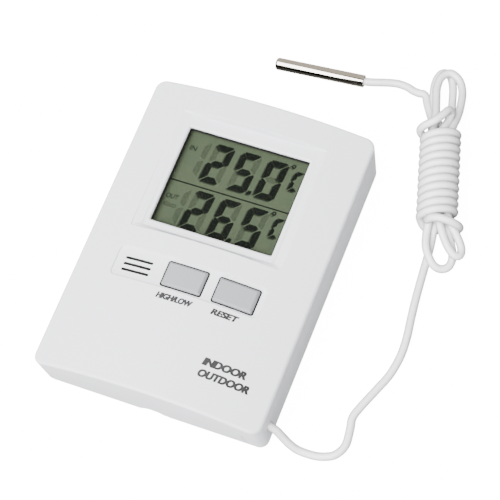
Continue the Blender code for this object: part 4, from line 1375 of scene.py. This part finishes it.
def screws():
    """Case, board and clamp screws, each group on its own points."""
    groups = (("case_screws", CASE_SCREWS, [f"case_screw_{k}" for k in range(1, 5)], (2.3, 1.5, 1.1)),
              ("board_screws", BOARD_SCREWS, [f"board_screw_{k}" for k in range(1, 5)], (1.7, 1.2, 0.8)),
              ("clamp_screws", [CLAMP_SCREW], ["clamp_screw"], (1.7, 1.2, 0.8)))
    tree = screw_tree()
    steel = finish_of("plated_steel")
    for name, boxes, nodes, (head_radius, head_height, shank_radius) in groups:
        bm = bmesh.new()
        for box in boxes:
            bm.verts.new((box.middle.x, box.middle.y, box.z0 + head_height))
        reach = boxes[0].z1 - boxes[0].z0 - head_height
        item = run_tree(new_item(name, bm), tree, {
            "Head Radius": head_radius * MM, "Head Height": head_height * MM, "Head Edge": 0.5 * MM,
            "Shank Radius": shank_radius * MM, "Shank Length": reach * MM,
            "Recess Length": head_radius * 1.25 * MM, "Recess Width": head_radius * 0.27 * MM,
            "Recess Depth": head_height * 0.6 * MM, "Material": steel})
        finish_piece(item, steel, "case", nodes)


def battery():
    """Cell with a shrunk film whose edges curl over the ends, and the spring behind it."""
    radius = (CELL.y1 - CELL.y0) / 2
    reach = CELL.x1 - CELL.x0
    body = reach - 0.8
    profile = [(0, 0.12), (radius - 1.1, 0.12), (radius - 0.9, 0.0), (radius - 0.4, 0.05),
               (radius - 0.1, 0.25), (radius, 0.6), (radius, body - 0.7), (radius - 0.12, body - 0.25),
               (radius - 0.45, body - 0.02), (radius - 1.0, body),
               (radius - 1.15, body - 0.1), (2.3, body - 0.1), (1.9, body + 0.05),
               (1.88, reach - 0.15), (1.72, reach), (0, reach)]
    axis = (Vector((0, 0, 1)), Vector((0, 1, 0)), Vector((-1, 0, 0)))
    start = (CELL.x1, CELL.middle.y, CELL.middle.z)
    cell = new_item("dry_cell", turned(profile, start, axis, 64))
    finish_piece(cell, finish_of("cell_wrap"), "case", ["battery_cell"])
    coil = frame_box("battery_spring")
    wire = 0.4
    bm = bmesh.new()
    bm.verts.new((coil.x1 - wire, CELL.middle.y, CELL.middle.z))
    steel = finish_of("plated_steel")
    spring = run_tree(new_item("contact_spring", bm), coil_tree(), {
        "Wide Radius": 3.9 * MM, "Narrow Radius": 2.2 * MM, "Wire Radius": wire * MM,
        "Length": (coil.x1 - coil.x0 - 2 * wire) * MM, "Turns": 4.0, "Material": steel})
    finish_piece(spring, steel, "case", ["battery_spring"])


INNER_FINISHES = {
    "window_lens": "window_plastic", "lcd_frame": "inner_plastic", "cord_clamp": "inner_plastic",
    "lcd_rear_glass": "display_glass", "lcd_reflector": "reflector_film",
    "contact_strip_lower": "black_rubber", "contact_strip_upper": "black_rubber",
    "circuit_board": "board_laminate", "chip_cover": "black_resin", "indoor_sensor": "black_resin",
    "thermistor": "black_resin", "timing_crystal": "plated_steel", "capacitor": "capacitor_shell",
    "battery_contact_plate": "plated_steel", "spring_plate": "plated_steel",
    "sensor_wire_a": "black_rubber", "sensor_wire_b": "black_rubber",
}


def inner_parts():
    """Finishes of the pieces whose shape comes straight from the frame."""
    for node, finish in INNER_FINISHES.items():
        mesh = frame["nodes"][node].data
        mesh.materials.clear()
        mesh.materials.append(finish_of(finish))
    button_domes()


def button_domes():
    """Rubber domes under the buttons."""
    for name in BUTTONS:
        joint = next(item for item in frame["joints"] if item["child"] == name)
        node = name.replace("button", "dome")
        box = frame_box(node)
        height, skirt = box.z1 - box.z0, (box.x1 - box.x0) / 2
        profile = ((0, height - 0.7), (1.5, height - 0.75), (2.5, 0.35), (2.55, 0), (skirt, 0),
                   (skirt, 0.35), (skirt - 0.1, 0.45), (3.1, 0.5), (2.9, 0.65), (2.0, height - 0.2),
                   (1.75, height), (0, height))
        place = Vector((box.middle.x, box.middle.y, box.z0))
        dome = new_item(node + "_soft", turned(profile, place, sides=64))
        finish_piece(dome, finish_of("grey_rubber"), "case", [node])
        stroke = joint["range_m"][1] / MM
        1 - stroke / height
        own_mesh(dome)


# Cord and probe

def from_hank(points):
    """Points along, across and above the hank as points in the frame."""
    along = Vector((-math.sin(HANK_ANGLE), math.cos(HANK_ANGLE), 0))
    across = Vector((along.y, -along.x, 0))
    return [HANK_MIDDLE + along * u + across * v + Vector((0, 0, w)) for u, v, w in points]


def strand(across, height, way):
    """One straight run inside the wraps."""
    return [(u, across, height) for u in STRAND_ENDS[::way]]


def wraps():
    """Turns round the strands, from the hank's upper end to its lower end."""
    steps = 12
    wide, high = WRAP_RADII
    points = []
    for k in range(1, steps * WRAPS + 1):
        turn = math.pi + 2 * math.pi * k / steps
        u = FIRST_WRAP + WRAP_PITCH * (0.75 - k / steps) + WRAP_TILT * math.cos(turn)
        points.append((u, wide * math.cos(turn), WRAP_HEIGHT + high * math.sin(turn)))
    return points


def hank_route():
    """The whole hank: strands to and fro with a loop at each turn, the wraps, then the last run."""
    spread = 2 * CORD_RADIUS
    points = [(-27.6, -2.7, LIE), (-23.0, -1.7, 2.0), (-19.0, -0.9, 3.8), (-15.6, -0.2, 4.0)]
    points += strand(0.0, STRAND_LOW, 1) + list(UPPER_LOOP_UNDER)
    points += strand(spread, STRAND_LOW, -1) + list(LOWER_LOOP_UNDER)
    points += strand(-spread, STRAND_HIGH, 1) + list(UPPER_LOOP_OVER)
    points += strand(spread, STRAND_HIGH, -1) + list(LOWER_LOOP_OVER)
    points += strand(0.0, STRAND_HIGH, 1) + list(OVER_THE_TOP)
    points += wraps() + list(LAST_TURN)
    points += strand(-spread, STRAND_LOW, 1) + list(TAIL)
    return from_hank(points)


def smooth_route(points, spacing):
    """Points about spacing apart on a Catmull-Rom curve through the route's own points."""
    route = [Vector(p) for p in points]
    route = [2 * route[0] - route[1]] + route + [2 * route[-1] - route[-2]]
    result = []
    for a, b, c, d in zip(route, route[1:], route[2:], route[3:]):
        steps = max(1, round((c - b).length / spacing))
        for k in range(steps):
            t = k / steps
            point = 2 * b + (c - a) * t + (2 * a - 5 * b + 4 * c - d) * t ** 2
            result.append((point + (3 * b - a - 3 * c + d) * t ** 3) / 2)
    result.append(route[-2])
    return result


def probe():
    """Steel sleeve: a rounded closed end and a rolled rim where the cord goes in."""
    sizes = sizes_of("cord")
    along = (PROBE_END - PROBE_START).normalized()
    side = Vector((0, 0, 1)).cross(along)
    axis = (side, along.cross(side), along)
    reach = (PROBE_END - PROBE_START).length
    outer = 2.0
    inner = outer - sizes.probe_wall
    rim = 0.18
    nose = [(outer - inset, reach - sizes.probe_nose + (sizes.probe_nose - drop))
            for inset, drop in quarter(sizes.probe_nose, 10)]
    profile = [(0, reach - 1.0), (inner, reach - 1.0), (inner, rim), (inner + rim * 0.3, rim * 0.3),
               (inner + rim, 0), (outer - rim, 0), (outer - rim * 0.3, rim * 0.3), (outer, rim)]
    sleeve = new_item("probe_tube", turned(profile + nose + [(0, reach)], PROBE_START, axis, 96))
    return finish_piece(sleeve, finish_of("probe_steel"), "case", ["probe_sleeve"],
                        crease=40.0)


def cord_and_probe():
    """The cord as one curve from the case to the probe, with the sleeve on its end."""
    sizes = sizes_of("cord")
    route = list(LEAD_ROUTE) + hank_route() + list(PROBE_ROUTE)
    path = smooth_route(route, sizes.point_spacing)
    curve = bpy.data.curves.new("probe_cord", "CURVE")
    curve.dimensions = "3D"
    curve.bevel_depth = CORD_RADIUS * MM
    curve.bevel_resolution = 6
    curve.use_fill_caps = True
    spline = curve.splines.new("POLY")
    spline.points.add(len(path) - 1)
    for target, point in zip(spline.points, path):
        target.co = (*(point * MM), 1.0)
    spline.use_smooth = True
    curve.materials.append(finish_of("cord_sheath"))
    cord = bpy.data.objects.new("probe_cord", curve)
    bpy.context.scene.collection.objects.link(cord)
    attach(cord, "case")
    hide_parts("cord_lead", "cord_hank", "cord_probe_lead")
    whole = sum((b - a).length for a, b in zip(path, path[1:]))
    probe()


# Stage

CAMERA_PLACE = Vector((167.8, -201.1, 553.8))
CAMERA_AIM = Vector((7.56, 10.67, 0.0))
CAMERA_ROLL = math.radians(-17.206)
LIGHT_AIM = Vector((0.01, 0.01, 0.01))
KEY_PLACE, KEY_SIZE = (-0.16, -0.31, 0.76), (1.0, 0.76)
LOW_PLACE, LOW_SIZE = (-0.05, -0.95, 0.42), (0.5, 0.3)
FLOOR_LEVEL = -0.05             # just under the case, so that no two faces lie in one plane
NEAR_REFLECTION = (0.02, 0.02, 0.018)
FAR_REFLECTION = (0.30, 0.27, 0.225)
BACKDROP = (14.0, 14.0, 14.0)


def camera(lens):
    data = bpy.data.cameras.new("camera")
    data.lens = lens
    data.sensor_width = 36.0
    data.clip_start = 0.01
    item = bpy.data.objects.new("camera", data)
    level = (CAMERA_PLACE - CAMERA_AIM).to_track_quat("Z", "Y").to_matrix().to_4x4()
    item.matrix_world = Matrix.Translation(CAMERA_PLACE * MM) @ level @ Matrix.Rotation(CAMERA_ROLL, 4, "Z")
    bpy.context.scene.collection.objects.link(item)
    bpy.context.scene.camera = item


def soft_box(name, place, size, power, mirrored=True):
    """Area light that points at the middle of the object. Reflections may leave it out."""
    data = bpy.data.lights.new(name, "AREA")
    data.shape = "RECTANGLE"
    data.size, data.size_y = size
    data.energy = power
    item = bpy.data.objects.new(name, data)
    item.location = place
    item.visible_glossy = mirrored
    item.rotation_euler = (LIGHT_AIM - Vector(place)).to_track_quat("-Z", "Y").to_euler()
    bpy.context.scene.collection.objects.link(item)


def floor(stage):
    """Pale matt floor. Reflections see it darker, most of all on the near side of the probe."""
    finish = Finish("floor_paper", Roughness=0.8, Specular_IOR_Level=0.1, Emission_Strength=stage.floor_glow)
    paper = finish.tint(list(stage.floor), 0.004, 8.0)
    along = finish.node("ShaderNodeSeparateXYZ", None, {"Vector": finish.place}, output="Y")
    far_side = finish.node("ShaderNodeMapRange", None, {
        "Value": along, "From Min": PROBE_END.y * MM - 0.004, "From Max": PROBE_END.y * MM + 0.004})
    reflected = finish.mix(far_side, NEAR_REFLECTION, FAR_REFLECTION)
    bounced = finish.node("ShaderNodeLightPath", output="Is Glossy Ray")
    lit = finish.node("ShaderNodeLightPath", output="Is Diffuse Ray")
    seen = finish.node("ShaderNodeLightPath", output="Is Camera Ray")
    paper = finish.mix(lit, paper, (0.5, 0.5, 0.5))
    finish.use(Base_Color=finish.mix(bounced, paper, reflected),
               Emission_Color=finish.mix(seen, (0.0, 0.0, 0.0), (1.0, 1.0, 1.0)))
    half = stage.floor_size / 2
    bm = bmesh.new()
    corners = ((-half, -half), (half, -half), (half, half), (-half, half))
    bm.faces.new([bm.verts.new((x, y, FLOOR_LEVEL)) for x, y in corners])
    item = new_item("floor", bm)
    item.data.materials.append(finish.material)


def sky(stage):
    """Even pale light, dimmer on the right. Reflections see a grey far side and a dark near side."""
    world = bpy.data.worlds.new("studio")
    world.use_nodes = True
    bpy.context.scene.world = world
    maker = Maker(world.node_tree)

    def mix(share, first, second):
        return maker.node("ShaderNodeMix", {"data_type": "RGBA"}, {0: share, 6: first, 7: second}, output=2)
    place = maker.node("ShaderNodeTexCoord", output="Generated")
    right = maker.node("ShaderNodeSeparateXYZ", None, {"Vector": place}, output="X")
    far = maker.node("ShaderNodeSeparateXYZ", None, {"Vector": place}, output="Y")
    shade = mix(maker.node("ShaderNodeMapRange", None, {"Value": right, "From Min": -0.3, "From Max": 0.9}),
                (1.0, 1.0, 1.0, 1.0), (0.38, 0.38, 0.39, 1.0))
    mirrored = mix(maker.node("ShaderNodeMapRange", None, {"Value": far, "From Min": 0.07, "From Max": 0.13}),
                   (0.02, 0.02, 0.02, 1.0), (0.62, 0.56, 0.47, 1.0))
    glossy = maker.node("ShaderNodeLightPath", output="Is Glossy Ray")
    to_camera = maker.node("ShaderNodeLightPath", output="Is Camera Ray")
    seen = mix(to_camera, mix(glossy, shade, mirrored), (*BACKDROP, 1.0))
    background = world.node_tree.nodes["Background"]
    maker.feed(background.inputs["Color"], seen)
    background.inputs["Strength"].default_value = stage.sky


def stage():
    """Floor, light and camera."""
    sizes = sizes_of("stage")
    camera(sizes.lens)
    floor(sizes)
    sky(sizes)
    soft_box("key_light", KEY_PLACE, KEY_SIZE, sizes.key_power)
    soft_box("low_light", LOW_PLACE, LOW_SIZE, sizes.low_power, mirrored=False)


# Operators

def make(function):
    """Run one piece's function for its operator."""
    function()
    return {"FINISHED"}


class THERMOMETER_OT_stage(bpy.types.Operator):
    """Set the floor, the light and the camera"""
    bl_idname = "thermometer.stage"
    bl_label = "Stage"

    def execute(self, context):
        return make(stage)


class THERMOMETER_OT_cord(bpy.types.Operator):
    """Lay the cord with its hank, and put the steel probe on its end"""
    bl_idname = "thermometer.cord"
    bl_label = "Cord and Probe"

    def execute(self, context):
        return make(cord_and_probe)


class THERMOMETER_OT_front_cover(bpy.types.Operator):
    """Make the crowned front cover"""
    bl_idname = "thermometer.front_cover"
    bl_label = "Front Cover"

    def execute(self, context):
        return make(front_cover)


class THERMOMETER_OT_shade_seals(bpy.types.Operator):
    """Make the black rings that paint shade into the button gaps, and the black pad that paints shade into
    the vent slots
    """
    bl_idname = "thermometer.seals"
    bl_label = "Shade Seals and Shade Pad"

    def execute(self, context):
        return make(shade_seals_and_pad)


class THERMOMETER_OT_rear_cover(bpy.types.Operator):
    """Make the rear cover with its bay and wells"""
    bl_idname = "thermometer.rear_cover"
    bl_label = "Rear Cover"

    def execute(self, context):
        return make(rear_cover)


class THERMOMETER_OT_battery_door(bpy.types.Operator):
    """Make the battery door"""
    bl_idname = "thermometer.battery_door"
    bl_label = "Battery Door"

    def execute(self, context):
        return make(battery_door)


class THERMOMETER_OT_stand(bpy.types.Operator):
    """Make the folding stand"""
    bl_idname = "thermometer.stand"
    bl_label = "Stand"

    def execute(self, context):
        return make(stand)


class THERMOMETER_OT_buttons(bpy.types.Operator):
    """Make the two push buttons"""
    bl_idname = "thermometer.buttons"
    bl_label = "Buttons"

    def execute(self, context):
        return make(buttons)


class THERMOMETER_OT_printing(bpy.types.Operator):
    """Print the words on the front"""
    bl_idname = "thermometer.printing"
    bl_label = "Printing"

    def execute(self, context):
        return make(printing)


class THERMOMETER_OT_display(bpy.types.Operator):
    """Make the screen and its bars"""
    bl_idname = "thermometer.display"
    bl_label = "Display"

    def execute(self, context):
        return make(display)


class THERMOMETER_OT_screws(bpy.types.Operator):
    """Make the case, board and clamp screws"""
    bl_idname = "thermometer.screws"
    bl_label = "Screws"

    def execute(self, context):
        return make(screws)


class THERMOMETER_OT_battery(bpy.types.Operator):
    """Make the battery cell and its spring"""
    bl_idname = "thermometer.battery"
    bl_label = "Battery"

    def execute(self, context):
        return make(battery)


class THERMOMETER_OT_inner_parts(bpy.types.Operator):
    """Finish the pieces inside the case"""
    bl_idname = "thermometer.inner_parts"
    bl_label = "Inner Parts"

    def execute(self, context):
        return make(inner_parts)


OPERATORS = (
    THERMOMETER_OT_stage, THERMOMETER_OT_cord, THERMOMETER_OT_front_cover, THERMOMETER_OT_shade_seals,
    THERMOMETER_OT_rear_cover, THERMOMETER_OT_battery_door, THERMOMETER_OT_stand,
    THERMOMETER_OT_buttons, THERMOMETER_OT_printing, THERMOMETER_OT_display,
    THERMOMETER_OT_screws, THERMOMETER_OT_battery, THERMOMETER_OT_inner_parts)


class THERMOMETER_PT_pieces(bpy.types.Panel):
    """Settings and buttons for every piece"""
    bl_idname = "THERMOMETER_PT_pieces"
    bl_label = "Thermometer"
    bl_space_type = "VIEW_3D"
    bl_region_type = "UI"
    bl_category = "Thermometer"

    def draw(self, context):
        for operator in OPERATORS:
            self.layout.operator(operator.bl_idname)
        for name in ("case", "display", "cord", "stage"):
            group = getattr(context.scene.thermometer, name)
            column = self.layout.column(heading=name.capitalize())
            for setting in group.bl_rna.properties.keys():
                if setting not in ("rna_type", "name"):
                    column.prop(group, setting)


CLASSES = (CaseSettings, DisplaySettings, CordSettings, StageSettings, ThermometerSettings,
           *OPERATORS, THERMOMETER_PT_pieces)


def register():
    for item in CLASSES:
        bpy.utils.register_class(item)
    bpy.types.Scene.thermometer = bpy.props.PointerProperty(type=ThermometerSettings)


def unregister():
    del bpy.types.Scene.thermometer
    for item in reversed(CLASSES):
        bpy.utils.unregister_class(item)


def main():
    register()
    for operator in OPERATORS:
        group, name = operator.bl_idname.split(".")
        getattr(getattr(bpy.ops, group), name)()


if __name__ == "__main__":
    main()
